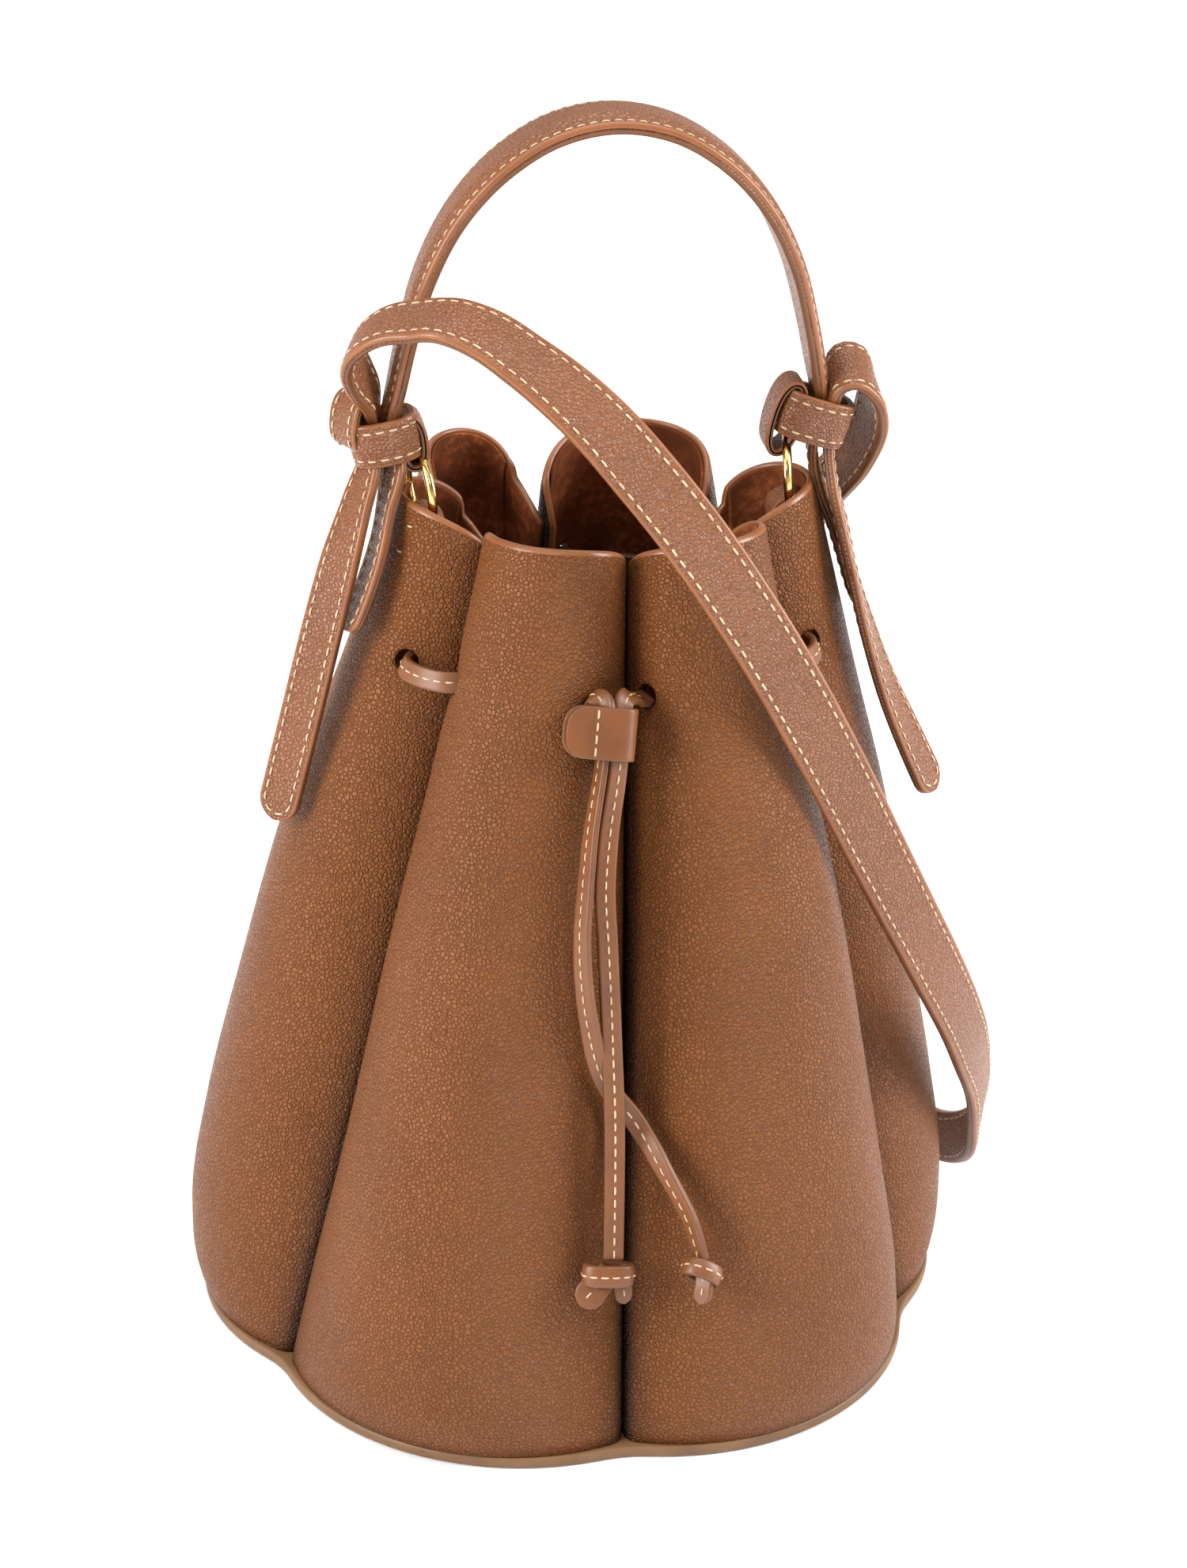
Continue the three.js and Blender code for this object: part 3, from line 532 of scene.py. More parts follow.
def profile(z):
    """Radius of the petals' outer faces at a height."""
    knots = np.array([k for k, _ in PETAL_PROFILE], float)
    radii = np.array([[r] for _, r in PETAL_PROFILE], float)
    z = np.atleast_1d(np.asarray(z, float))
    return hermite(knots, radii, z)[:, 0]


def petal_arc(index, z):
    """Level section of a petal: middle direction, half sector, radius and centre distance of its arc."""
    z = np.atleast_1d(np.asarray(z, float))
    creep = np.clip(z / NOTCH_HEIGHT, 0, 1) ** 1.5
    start, end = (
        np.radians(mix(SEAMS_AT_BASE[k], SEAMS_AT_MOUTH[k], creep)) for k in (index, index + 1)
    )
    half = (end - start) / 2
    seam_radius = mix(BASE_SEAM_RADIUS, MOUTH_SEAM_RADIUS, z / NOTCH_HEIGHT)
    swell = SWELLS[index] * np.sin(np.pi * np.clip(z / 200, 0, 1))
    outer = profile(z) + BULGES[index] * (z / PETAL_HEIGHT) ** 2 + swell
    chord = seam_radius * np.sin(half)
    rise = outer - seam_radius * np.cos(half)
    radius = (chord**2 + rise**2) / (2 * rise)
    middle = (start + end) / 2
    return SimpleNamespace(
        middle=middle, half=half, radius=radius, centre=outer - radius, z=z, seam=seam_radius
    )


def arc_limit(arc, depth):
    """Turn at which a petal's arc meets its seam gap, at a depth below its face."""
    reach = (arc.centre * np.sin(arc.half) - SEAM_GAP - depth) / (arc.radius - depth)
    return math.pi / 2 + arc.half - np.arccos(np.clip(reach, -1, 1))


def to_space(arc, out, across):
    """Points in the bag's frame from places along and across a petal's middle direction."""
    c, s = np.cos(arc.middle), np.sin(arc.middle)
    lean = arc.z / NOTCH_HEIGHT
    x = out * c - across * s + MOUTH_SHIFT[0] * lean
    y = out * s + across * c + MOUTH_SHIFT[1] * lean
    return np.stack([x, y, arc.z], -1)


def petal_point(index, degrees, z, depth):
    """Point of a petal at a turn round its own arc, at a depth below its face."""
    arc = petal_arc(index, z)
    turn = math.radians(degrees)
    radius = arc.radius - depth
    return to_space(arc, arc.centre + radius * math.cos(turn), radius * math.sin(turn))[0]


def seam_roll(z):
    """Radius on which a petal turns in to its seam. It is tight at the base and soft higher up."""
    return mix(SEAM_ROLL, SEAM_ROLL_HIGH, np.clip(z / 110, 0, 1) * np.clip((240 - z) / 40, 0.2, 1))


def petal_column(index, kind, side, t, z, depth):
    """Points of one upright line of a petal. It is on its arc, on the roll into the seam, or on the
    seam allowance inside the bag; t is the place in that stretch."""
    arc = petal_arc(index, z)
    bend = seam_roll(z)
    limit = arc_limit(arc, bend)
    depth = np.asarray(depth, float)
    if kind == "arc":
        turn = t * limit
        depth = depth + dents(index, t, z)
        radius = arc.radius - depth
        return to_space(arc, arc.centre + radius * np.cos(turn), radius * np.sin(turn))
    roll = arc.radius - bend
    out = arc.centre + roll * np.cos(limit)
    across = roll * np.sin(limit)
    end = arc.half + math.pi / 2
    turn = mix(limit, end, t) if kind == "roll" else end
    if kind == "flange":
        along = out * np.cos(arc.half) + across * np.sin(arc.half)
        reach = along - np.minimum(arc.seam, along) + FLANGE
        out = out - reach * t * np.cos(arc.half)
        across = across - reach * t * np.sin(arc.half)
    out = out + (bend - depth) * np.cos(turn)
    across = across + (bend - depth) * np.sin(turn)
    return to_space(arc, out, side * across)


def dents(index, t, z):
    """Small hollows where the drawstring pulls at its holes, and slow waves of soft leather."""
    z = np.asarray(z, float)
    limit = np.degrees(arc_limit(petal_arc(index, HOLE_HEIGHT), seam_roll(HOLE_HEIGHT))[0])
    depth = 0.25 * np.sin(z / 17 + index * 1.7 + 3 * t) * np.sin(z / 240 * math.pi)
    for degrees in HOLES[index]:
        reach = ((t * limit - degrees) / 16) ** 2 + ((z - HOLE_HEIGHT) / 7) ** 2
        depth = depth + 0.9 * np.exp(-reach)
    return depth


def rim_height(across):
    """Height of a petal's rim at a share of the way from its middle to its seam."""
    across = np.clip(np.abs(across), 0, 1)
    return NOTCH_HEIGHT + (PETAL_HEIGHT - NOTCH_HEIGHT) * (1 - across**2.4) ** 0.6


def sheet_solid(name, columns, rows_below, materials):
    """Closed sheet from upright lines that run up its outer face, over its rim and down inside."""
    grid = np.stack(columns, 1)
    rows, width = grid.shape[:2]
    top = (rows - 1) // 2
    faces, kinds = [], []

    def at(r, c):
        return r * width + c

    for r in range(rows - 1):
        inner = r >= top
        rim = rows_below - 1 <= r < rows - rows_below
        for c in range(width - 1):
            faces.append((at(r, c), at(r, c + 1), at(r + 1, c + 1), at(r + 1, c)))
            kinds.append(1 if rim else (2 if inner else 0))
    for c in range(width - 1):
        faces.append((at(rows - 1, c), at(rows - 1, c + 1), at(0, c + 1), at(0, c)))
        kinds.append(0)
    for c in (0, width - 1):
        for r in range(top):
            corners = (at(r, c), at(r + 1, c), at(rows - 2 - r, c), at(rows - 1 - r, c))
            faces.append(corners if r < top - 1 else (corners[0], corners[1], corners[3]))
            kinds.append(1)
    return mesh_object(name, grid.reshape(-1, 3), faces, materials, kinds if len(materials) > 1 else None)


ROLL_STEPS = (0.25, 0.5, 0.75, 1.0)
FLANGE_STEPS = (0.3, 0.65, 1.0)


def rim_lines(index, thickness, first_depth, drop, flanges, count):
    """Upright lines of a petal or a lining, the number of points below its rim, and how deep in a
    fold each line lies, from 0 to 1, as the share of painted shade it gets."""
    bottom = SOLE_THICKNESS + BASE_CLEARANCE
    spots = [("arc", 1, t, abs(t) * 0.93) for t in np.sin(np.linspace(-1, 1, count) * 1.35) / math.sin(1.35)]
    if flanges:
        for side in (-1, 1):
            extra = [("roll", side, t, 0.93 + 0.07 * t) for t in ROLL_STEPS]
            extra += [("flange", side, t, 1.0) for t in FLANGE_STEPS]
            spots = (extra[::-1] + spots) if side < 0 else (spots + extra)
    body = np.linspace(0, 1, 96) ** 0.9
    nose = [(0.55, 0.0), (0.2, 0.12), (0.05, 0.3), (0.0, 0.5)]
    lines = []
    for kind, side, t, across in spots:
        top = rim_height(across) - drop - (9 * t if kind == "flange" else 0)
        below = top - 0.55 * thickness
        z_up = list(mix(bottom, below, body)[:-1]) + [top - thickness * h for h, _ in nose]
        depth_up = [0.0] * (len(body) - 1) + [thickness * d for _, d in nose]
        z = np.array(z_up + z_up[-2::-1])
        depth = first_depth + np.array(depth_up + [thickness - d for d in depth_up[-2::-1]])
        lines.append(petal_column(index, kind, side, t, z, depth))
    turns = [t for kind, _, t, _ in spots if kind == "arc"]
    # Painted shade for each line: none over most of the arc, growing towards its edges, deeper over the roll
    # and full on the seam allowance.
    fold_shades = [FOLD_SHADE_SHARE * np.clip(abs(t) / 0.3 - 7 / 3, 0, 1) ** 2 for t in turns]
    if flanges:
        deep = [mix(FOLD_SHADE_SHARE, 1, t) for t in ROLL_STEPS] + [1.0 for _ in FLANGE_STEPS]
        fold_shades = deep[::-1] + fold_shades + deep
    return lines, len(body), fold_shades


def cut_holes(piece, index):
    """Cuts the petal's two drawstring holes through the piece."""
    for degrees in HOLES[index]:
        inside = petal_point(index, degrees, HOLE_HEIGHT, 7)
        outside = petal_point(index, degrees, HOLE_HEIGHT, -4)
        axis = Vector(outside - inside)
        bpy.ops.mesh.primitive_cylinder_add(
            vertices=32, radius=HOLE_RADIUS * MM, depth=axis.length * MM, location=(outside + inside) / 2 * MM
        )
        cutter = bpy.context.object
        cutter.rotation_mode = "QUATERNION"
        cutter.rotation_quaternion = axis.to_track_quat("Z", "Y")
        cutter.data.materials.append(HOLE)
        cut = piece.modifiers.new("hole", "BOOLEAN")
        cut.operation = "DIFFERENCE"
        cut.solver = "EXACT"
        cut.material_mode = "TRANSFER"
        cut.object = cutter
        bpy.context.view_layer.update()
        graph = bpy.context.evaluated_depsgraph_get()
        mesh = bpy.data.meshes.new_from_object(piece.evaluated_get(graph))
        piece.modifiers.remove(cut)
        old = piece.data
        piece.data = mesh
        bpy.data.meshes.remove(old)
        bpy.data.objects.remove(cutter)


def build_petals():
    """Six petals of leather, each with its suede lining and two holes through both."""
    for index, name in enumerate(PETALS):
        lines, below, fold_shades = rim_lines(index, LEATHER, 0.0, 0.0, True, 61)
        petal = sheet_solid("petal_" + name + "_leather", lines, below, [GRAIN, EDGE, SUEDE])
        # Painted shade for the folds between the petals, stored on the leather for its material to darken.
        layer = petal.data.attributes.new("fold_shade", "FLOAT", "POINT")
        layer.data.foreach_set("value", np.tile(fold_shades, len(lines[0])).astype(np.float32))
        cut_holes(petal, index)
        add_piece(petal, "grained_leather", "shell", "petal_" + name)
        lines, below, _ = rim_lines(index, LINING, LEATHER + 0.03, 1.1, False, 45)
        lining = sheet_solid("lining_" + name + "_suede", lines, below, [SUEDE])
        cut_holes(lining, index)
        add_piece(lining, "suede", "shell", "lining_" + name)


def build_tacks():
    """Two short stitches on the left petal's face, where the ring tab is sewn in."""
    left = PETALS.index("left")
    rows = []
    for degrees, z in TACKS:
        line = np.array([petal_point(left, degrees + turn, z, -0.05) for turn in (-2.2, 0, 2.2)])
        middle = petal_point(left, degrees, z, 4)
        rows.append((line, np.broadcast_to(normalised(line[1] - middle), line.shape)))
    stitch_rows("tack_stitches", rows, "shell", pitch=3.2, length=2.4)


# ---------- base
def build_base():
    """Sole in six shallow lobes under the petals, with rounded edges. The board and the lining above
    it stay as the CAD model has them, and only get their materials."""
    outline = []
    for index in range(len(PETALS)):
        arc = petal_arc(index, 0)
        limit = arc_limit(arc, 1.0)[0]
        radius = arc.radius + SOLE_LIP
        for turn in np.linspace(-1, 1, 40)[:-1] * limit:
            outline.append(to_space(arc, arc.centre + radius * np.cos(turn), radius * np.sin(turn))[0])
    outline = np.array(outline)
    for _ in range(3):
        outline = (np.roll(outline, 1, 0) + 2 * outline + np.roll(outline, -1, 0)) / 4
    outward = normalised(outline * [1, 1, 0])
    levels = [(-6, 0), (-0.7, 0), (-0.2, 0.15), (0, 0.5), (0, 2.4), (-0.2, 2.85), (-0.7, 3.0), (-6, 3.0)]
    rings = np.stack([outline + reach * outward + [0, 0, z] for reach, z in levels])
    faces = tube_faces(*rings.shape[:2])
    sole = mesh_object("sole_leather_round", rings.reshape(-1, 3), faces, [SOLE])
    add_piece(sole, "sole_leather", "shell", "base_sole")
    for node, material in (("base_board", BOARD), ("base_lining", SUEDE)):
        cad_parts[node].data.materials.clear()
        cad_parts[node].data.materials.append(material)


# ---------- rings and tabs
RING_STEPS = 72
WIRE_SIDES = 20


def build_rings():
    """Gold rings, turned in a little at the front and leaning left, and the tabs that hold them."""
    for side, label in ((-1, "left"), (1, "right")):
        around = np.arange(RING_STEPS) / RING_STEPS * 2 * math.pi
        section = np.arange(WIRE_SIDES) / WIRE_SIDES * 2 * math.pi
        u, v = np.meshgrid(around, section, indexing="ij")
        wire = RING_REACH[label]
        reach = RING_RADIUS + WIRE_RADIUS * np.cos(v)
        x = WIRE_RADIUS * np.sin(v) + side * RING_YAW * reach * np.cos(u)
        x = x + MOUTH_SHIFT[0] + side * wire - RING_LEAN * (RING_RADIUS + reach * np.sin(u))
        rings = np.stack([x, HANDLE_Y + reach * np.cos(u), RING_HEIGHT + reach * np.sin(u)], -1)
        ring = loft("ring_" + label + "_gold", rings, [0] * WIRE_SIDES, [GOLD], closed=True)
        add_piece(ring, "gold_metal", "handle", "ring_" + label)
        bend = [
            (56.9, 208, 1, 0.25),
            (55.6, 216, 1, 0.25),
            (54.2, 226, 1, 0.25),
            (wire + 4.2, 232.6, 0.9, 0.5),
            (wire, 235.6, 0, 1),
            (wire - 4.9, 232.8, -0.9, 0.3),
            (wire - 4.9, 228.2, -0.9, -0.4),
            (wire, 225.0, -0.3, -1),
            (52.4, 221.6, -0.8, -0.4),
            (54.0, 215.5, -1, -0.25),
            (55.4, 209, -1, -0.25),
        ]
        x0 = MOUTH_SHIFT[0]
        stations = [(x0 + side * r, HANDLE_Y, z, side * o, 0, up, TAB_WIDTH) for r, z, o, up in bend]
        tab = strap("ring_tab_" + label + "_strap", frames_along(stations, 0.8), TAB_THICKNESS)
        add_piece(tab, "strap_leather", "shell", "ring_tab_" + label)


# ---------- handle
# Half of the arch: reach from its middle, height and width.
HANDLE_ARCH = [
    (56.5, 251, 8),
    (56.4, 263, 9),
    (55.2, 269, 12),
    (52.4, 282.5, 15),
    (47.5, 300, 18),
    (39.6, 315.5, 20),
    (28, 328.2, 21.5),
    (14.5, 336.3, HANDLE_WIDTH),
]


def build_handle():
    """Padded strap in an arch. Its face looks away from one point on the arch's middle line."""
    left, right = [], []
    for side, half in ((-1, left), (1, right)):
        for reach, z, width in HANDLE_ARCH:
            tilt = math.atan2(reach, max(1, z - HANDLE_FOCUS)) * side
            place = (MOUTH_SHIFT[0] + side * reach, HANDLE_Y, z)
            half.append(place + (math.sin(tilt), 0, math.cos(tilt), width))
    top = (MOUTH_SHIFT[0], HANDLE_Y, HANDLE_TOP, 0, 0, 1, HANDLE_WIDTH)
    frames = frames_along([*left, top, *right[::-1]], 1.2)
    handle = strap("handle_strap", frames, HANDLE_THICKNESS, pad=(0.62, 0.9), crown=0.35)
    add_piece(handle, "strap_leather", "handle", "handle_outer", "handle_lining")
    height = HANDLE_THICKNESS / 2
    rows = [side_row(frames, s, 2.0, height, 14, frames.total - 14) for s in (-1, 1)]
    stitch_rows("handle_stitches", rows, "handle", pitch=3.2, length=2.2)


# ---------- knots
def edge_stitches(name, frames, inset, height):
    """Stitches near both edges of a closed loop of strap."""
    rows = [closed_row(frames, share, inset, height) for share in (-1, 1)]
    stitch_rows(name, rows, "handle", pitch=3.5, length=2.4)


def knot_band(label, x, z, lean, half, width):
    """Band wound once round the strap ends, fuller at the front."""
    lean = math.radians(lean)
    across = (math.cos(lean), 0, -math.sin(lean))
    frames = loop_frames((x, HANDLE_Y, z), across, (0, -1, 0), half - 1, 6.2, width, 2.6, 64)
    bulge = 0.8 * np.clip(-frames.out[:, 1], 0, 1)
    frames.place = frames.place + bulge[:, None] * frames.out
    band = strap("knot_band_" + label + "_strap", frames, KNOT_THICKNESS, crown=0.35, closed=True)
    add_piece(band, "strap_leather", "handle", "knot_band_" + label)
    edge_stitches("knot_band_" + label + "_stitches", frames, 2.1, 1.05)


def ring_loop(label, x, z, lean, half_side, half_up):
    """Strap end that runs round the ring's upper wire and back into the knot."""
    lean = math.radians(lean)
    up = (math.sin(lean), 0, math.cos(lean))
    frames = loop_frames((x, HANDLE_Y, z), (1, 0, 0), up, half_side, half_up, RING_LOOP_WIDTH, 2.3, 64)
    loop = strap("ring_loop_" + label + "_strap", frames, KNOT_THICKNESS, closed=True)
    add_piece(loop, "strap_leather", "handle", "ring_loop_" + label)


def build_knots():
    """Bands, ring loops, and the turn of strap that stands out on the left knot's far side."""
    knot_band("left", -52.2, 256.2, -10, 9.0, 11.8)
    knot_band("right", 61.4, 257.4, 18, 9.6, 12.4)
    ring_loop("left", -45.2, 255.0, -6, 3.2, 6.9)
    ring_loop("right", 53.6, 257.8, 14, 3.7, 9.6)
    frames = loop_frames((-59.6, HANDLE_Y, 260.6), (0.84, 0.54, -0.1), (0.1, 0, 1), 3.8, 6.6, 10.5, 2.4, 64)
    turn = strap("knot_turn_left_strap", frames, KNOT_TURN_THICKNESS, closed=True)
    add_piece(turn, "strap_leather", "handle", "knot_turn_left")
    edge_stitches("knot_turn_left_stitches", frames, 2.0, 1.15)


# ---------- hanging strap ends
TAILS = {
    "tail_long_left": [
        (-55.6, 1, 252, -0.9, -0.45, 0.1, 9),
        (-56.5, -1, 249, -0.9, -0.45, 0.1, 10),
        (-60.3, -5, 239.2, -0.85, -0.5, 0.1, 11.5),
        (-64.6, -9, 227.4, -0.75, -0.65, 0.15, 12),
        (-68.8, -10, 212, -0.65, -0.75, 0.2, 12),
        (-76.8, -10, 179.3, -0.6, -0.8, 0.2, 12),
        (-83.4, -10, 152.7, -0.6, -0.8, 0.2, 12),
    ],
    "tail_short_left": [
        (-49.6, 1, 252, -0.85, -0.5, 0.1, 8),
        (-50, -1.5, 248.3, -0.85, -0.5, 0.1, 9),
        (-52.4, -5, 238.5, -0.95, -0.25, 0.1, 10),
        (-54.8, -8.5, 229.2, -0.97, -0.2, 0.1, 11),
        (-59.2, -10.5, 216.4, -0.97, -0.2, 0.2, 11),
        (-63.4, -11, 206.5, -0.97, -0.2, 0.2, 11),
    ],
    "tail_long_right": [
        (66, 1, 252, 0.97, -0.2, 0.1, 9),
        (66, 0, 247, 0.97, -0.2, 0.1, 10),
        (66.8, -3, 238.8, 0.97, -0.22, 0.1, 11.5),
        (69, -6, 229, 0.96, -0.25, 0.1, 12),
        (72.1, -9, 214.6, 0.97, -0.2, 0.15, 12),
        (77, -10, 198.5, 0.93, -0.34, 0.2, 12),
        (83, -10, 181.9, 0.87, -0.48, 0.25, 12),
        (88.7, -10, 169.1, 0.78, -0.6, 0.3, 12),
        (97.3, -10, 150.8, 0.72, -0.68, 0.3, 12),
    ],
    "tail_short_right": [
        (61.8, 1, 252, 0.98, -0.17, 0.1, 8),
        (62, 2, 246.5, 0.98, -0.17, 0.1, 9),
        (63.9, 3, 238, 0.98, -0.17, 0.1, 10),
        (68, 4, 228, 0.98, -0.17, 0.1, 11),
        (71.5, 4, 217, 0.98, -0.17, 0.2, 11),
        (73.8, 3, 209.5, 0.98, -0.17, 0.2, 11),
        (76.5, 3, 202.7, 0.98, -0.17, 0.2, 11),
    ],
}


def build_tails():
    """Hanging strap ends with round tips. They are attached to no body and stay where they hang."""
    for node, stations in TAILS.items():
        frames = frames_along(stations, 1.2, tip=True)
        tail = strap(node + "_strap", frames, TAIL_THICKNESS)
        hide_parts(node)
        rows = [tip_row(frames, 2.0, height, 3) for height in (TAIL_THICKNESS / 2, -TAIL_THICKNESS / 2)]
        thread = stitch_rows(node + "_stitches", rows, None)
        for made in (tail, thread):
            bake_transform(made)


# ---------- shoulder strap
# A station with no width of its own has the strap's full width.
SHOULDER_STRAP = [
    (-55.4, HANDLE_Y, 251, -1, 0, 0, 8),
    (-55, HANDLE_Y, 261, -1, 0.2, 0, 9),
    (-55.9, -1, 267.5, -0.92, 0.4, -0.05, 11),
    (-58.8, -4, 273.5, -0.88, 0.45, 0, 13),
    (-61.2, -8, 280.2, -0.86, 0.35, 0.15, 12.6),
    (-59.8, -13, 286.6, -0.8, 0.1, 0.5, 13.4),
    (-54.2, -17, 291.8, -0.5, -0.15, 0.85, 14.6),
    (-46.2, -21, 294.2, -0.3, -0.25, 0.93, 15.8),
    (-39.3, -26, 295.8, -0.1, -0.3, 0.95),
    (-30.4, -31, 293.7, 0, -0.42, 0.9),
    (-20.5, -36, 287.7, 0.1, -0.55, 0.82),
    (-11, -41, 280.8, 0.08, -0.68, 0.7),
    (-1.9, -46, 272.6, 0.05, -0.8, 0.55),
    (7.1, -50, 262.3, 0.02, -0.95, 0.3),
    (16.3, -54, 251, 0, -0.97, 0.2),
    (36.7, -59, 220.6, 0.1, -0.97, 0.15),
    (57.3, -57, 183.1, 0.2, -0.95, 0.15),
    (71.6, -52, 154.2, 0.3, -0.92, 0.15),
    (84.1, -47, 129.4, 0.4, -0.9, 0.2),
    (92.4, -42, 112.9, 0.45, -0.88, 0.2),
    (103.2, -31, 90.6, 0.55, -0.8, 0.2),
    (109.4, -22, 75.8, 0.65, -0.75, 0.15),
    (115.4, -10, 59.5, 0.78, -0.62, 0.1, 16),
    (119.7, 3, 41.0, 0.88, -0.45, 0, 15),
    (121.4, 16, 25.2, 0.97, -0.2, 0, 15),
    (118.7, 34, 13.5, 0.95, 0.3, 0, 16),
    (107, 58, 10, 0.86, 0.5, 0),
    (88, 82, 9.5, 0.72, 0.7, 0),
    (60, 102, 9.5, 0.5, 0.86, 0),
    (26, 114, 9.8, 0.2, 0.98, 0),
    (-10, 117, 12, -0.1, 1, 0),
    (-42, 113, 20, -0.35, 0.93, 0.1),
    (-62, 107, 42, -0.45, 0.88, 0.2),
    (-58, 103, 72, -0.35, 0.9, 0.2),
    (-36, 98, 103, -0.1, 0.96, 0.25),
    (-6, 92, 131, 0.1, 0.96, 0.25),
    (26, 82, 158, 0.3, 0.92, 0.25, 16),
    (54, 62, 186, 0.55, 0.8, 0.2, 14),
    (67, 36, 214, 0.9, 0.4, 0.1, 13.5),
    (71.5, 20, 231, 0.92, 0.4, 0, 14),
    (76.2, 10, 244, 0.94, 0.35, -0.05, 15),
    (78.4, 4.5, 256, 0.96, 0.22, 0.1, 16),
    (77.2, 2, 264.5, 0.8, -0.15, 0.55, 16.5),
    (73.6, 1, 269.6, 0.3, -0.45, 0.85),
    (69.8, 0, 270, -0.35, -0.5, 0.75, 16),
    (66.8, 0, 266.8, -0.9, -0.2, 0.4, 13),
    (65.4, 0.5, 260.5, -0.98, -0.1, 0.15, 10.5),
    (64.6, HANDLE_Y, 251, -1, 0, 0, 9),
]


def build_shoulder_strap():
    """Strap from the left knot over the front, along the ground and up the back to the right knot."""
    stations = [station if len(station) == 7 else (*station, STRAP_WIDTH) for station in SHOULDER_STRAP]
    frames = frames_along(stations, 1.6)
    piece = strap("shoulder_strap", frames, STRAP_THICKNESS, crown=0.25)
    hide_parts("shoulder_strap_front", "shoulder_strap_back")
    height = STRAP_THICKNESS / 2
    rows = [
        side_row(frames, share, 2.2, level, 14, frames.total - 14)
        for share in (-1, 1)
        for level in (height, -height)
    ]
    thread = stitch_rows("shoulder_strap_stitches", rows, None)
    for made in (piece, thread):
        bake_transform(made)


# ---------- drawstring
# The slider's place and direction, and the routes of the two tails with their faces.
SLIDER_PLACE = np.array([-0.3, -60.2, 195.7])
SLIDER_AXIS = normalised(np.array([-0.125, -0.33, -0.936]))

TAIL_RIGHT = [
    (10.5, -46.2, 199.0, 0.2, -0.3, 0.95),
    (7.5, -49.1, 199.9, 0.2, -0.3, 0.95),
    (5, -52.8, 202.4, 0.1, -0.4, 0.9),
    (2.9, -56.4, 203.6, 0.3, -0.8, 0.5),
    (1.1, -60.2, 195.7, 0.45, -0.9, 0.2),
    (0.2, -62.8, 188.2, 0.4, -0.9, 0.2),
    (-2.9, -68.5, 171, 0.2, -1, 0.1),
    (-4.2, -72.5, 157, 0.05, -1, 0.1),
    (-3.8, -75.6, 143, 0.1, -1, 0.1),
    (-3.0, -80, 118, 0.1, -1, 0.1),
    (-2.6, -84.4, 97, 0.05, -1, 0.1),
    (-3.1, -89.5, 77, 0.05, -1, 0.1),
    (-3.8, -94, 60, 0.05, -1, 0.1),
]
TAIL_LEFT = [
    (-6.2, -52.6, 201.4, -0.2, -0.4, 0.9),
    (-4.6, -55.4, 204, -0.2, -0.4, 0.9),
    (-3, -57.4, 203.6, -0.6, -0.6, 0.5),
    (-2.9, -60.2, 195.7, -0.95, -0.3, 0),
    (-4.1, -62.8, 188.2, -0.95, -0.3, 0),
    (-7.6, -69.3, 172, -0.9, -0.4, 0),
    (-9.2, -72.8, 160, -0.85, -0.5, 0),
    (-10.6, -77, 146, -0.8, -0.6, 0),
    (-9, -80.6, 123, -0.6, -0.8, 0),
    (-3.8, -79.6, 104, -0.2, -1, 0),
    (3.2, -80.6, 94, -0.2, -0.95, 0.2),
    (10.5, -89, 82, -0.75, -0.6, 0.15),
    (16.5, -95.6, 70, -0.85, -0.45, 0.15),
    (18.8, -98.6, 61, -0.85, -0.45, 0.15),
]


def build_neck():
    """Ribbon inside each petal from hole to hole, and outside across each seam but the front one."""
    route = []
    for step in range(len(PETALS)):
        index = -step % len(PETALS)
        first, last = HOLES[index]
        inner = [petal_point(index, turn, HOLE_HEIGHT, 6.0) for turn in (last, first)]
        outer = [petal_point(index, turn, HOLE_HEIGHT, -1.4) for turn in (last, first)]
        route += [outer[0], inner[0], (inner[0] + inner[1]) / 2, inner[1], outer[1]]
    route = np.array(route[1:-1])
    centre = np.array([*MOUTH_SHIFT, 0]) * HOLE_HEIGHT / NOTCH_HEIGHT
    face = normalised((route - centre) * [1, 1, 0]) + [0, 0, 0.35]
    stations = [(*p, *f, NECK_WIDTH) for p, f in zip(route, face)]
    frames = frames_along(stations, 1.0)
    neck = strap("drawstring_neck_ribbon", frames, CORD_THICKNESS, RIBBONS)
    add_piece(neck, "strap_leather", "shell", "drawstring_neck")
    rows = [side_row(frames, 0, 0, CORD_THICKNESS / 2)]
    stitch_rows("drawstring_neck_stitches", rows, "shell", pitch=3.4, length=2.3, size=0.9)


def ribbon_tip(name, stations):
    """Round end of a ribbon that comes out of an end knot."""
    frames = frames_along(stations, 0.8, tip=True)
    piece = strap(name, frames, CORD_THICKNESS, RIBBONS)
    add_piece(piece, "strap_leather", "shell")
    rows = [side_row(frames, 0, 0, CORD_THICKNESS / 2, 0.5, frames.total - 1.5)]
    thread = stitch_rows(name + "_stitches", rows, "shell", pitch=3.0, length=2.1, size=0.85)
    return [piece, thread]


def knot_wrap(name, node, frames):
    """Turn of ribbon round an end knot."""
    piece = strap(name, frames, KNOT_THICKNESS, RIBBONS, crown=0.25, closed=True)
    add_piece(piece, "strap_leather", "shell", node)
    rows = [closed_row(frames, 0, 0, 1.2)]
    thread = stitch_rows(name + "_stitches", rows, "shell", pitch=3.1, length=2.2, size=0.9)
    return [piece, thread]


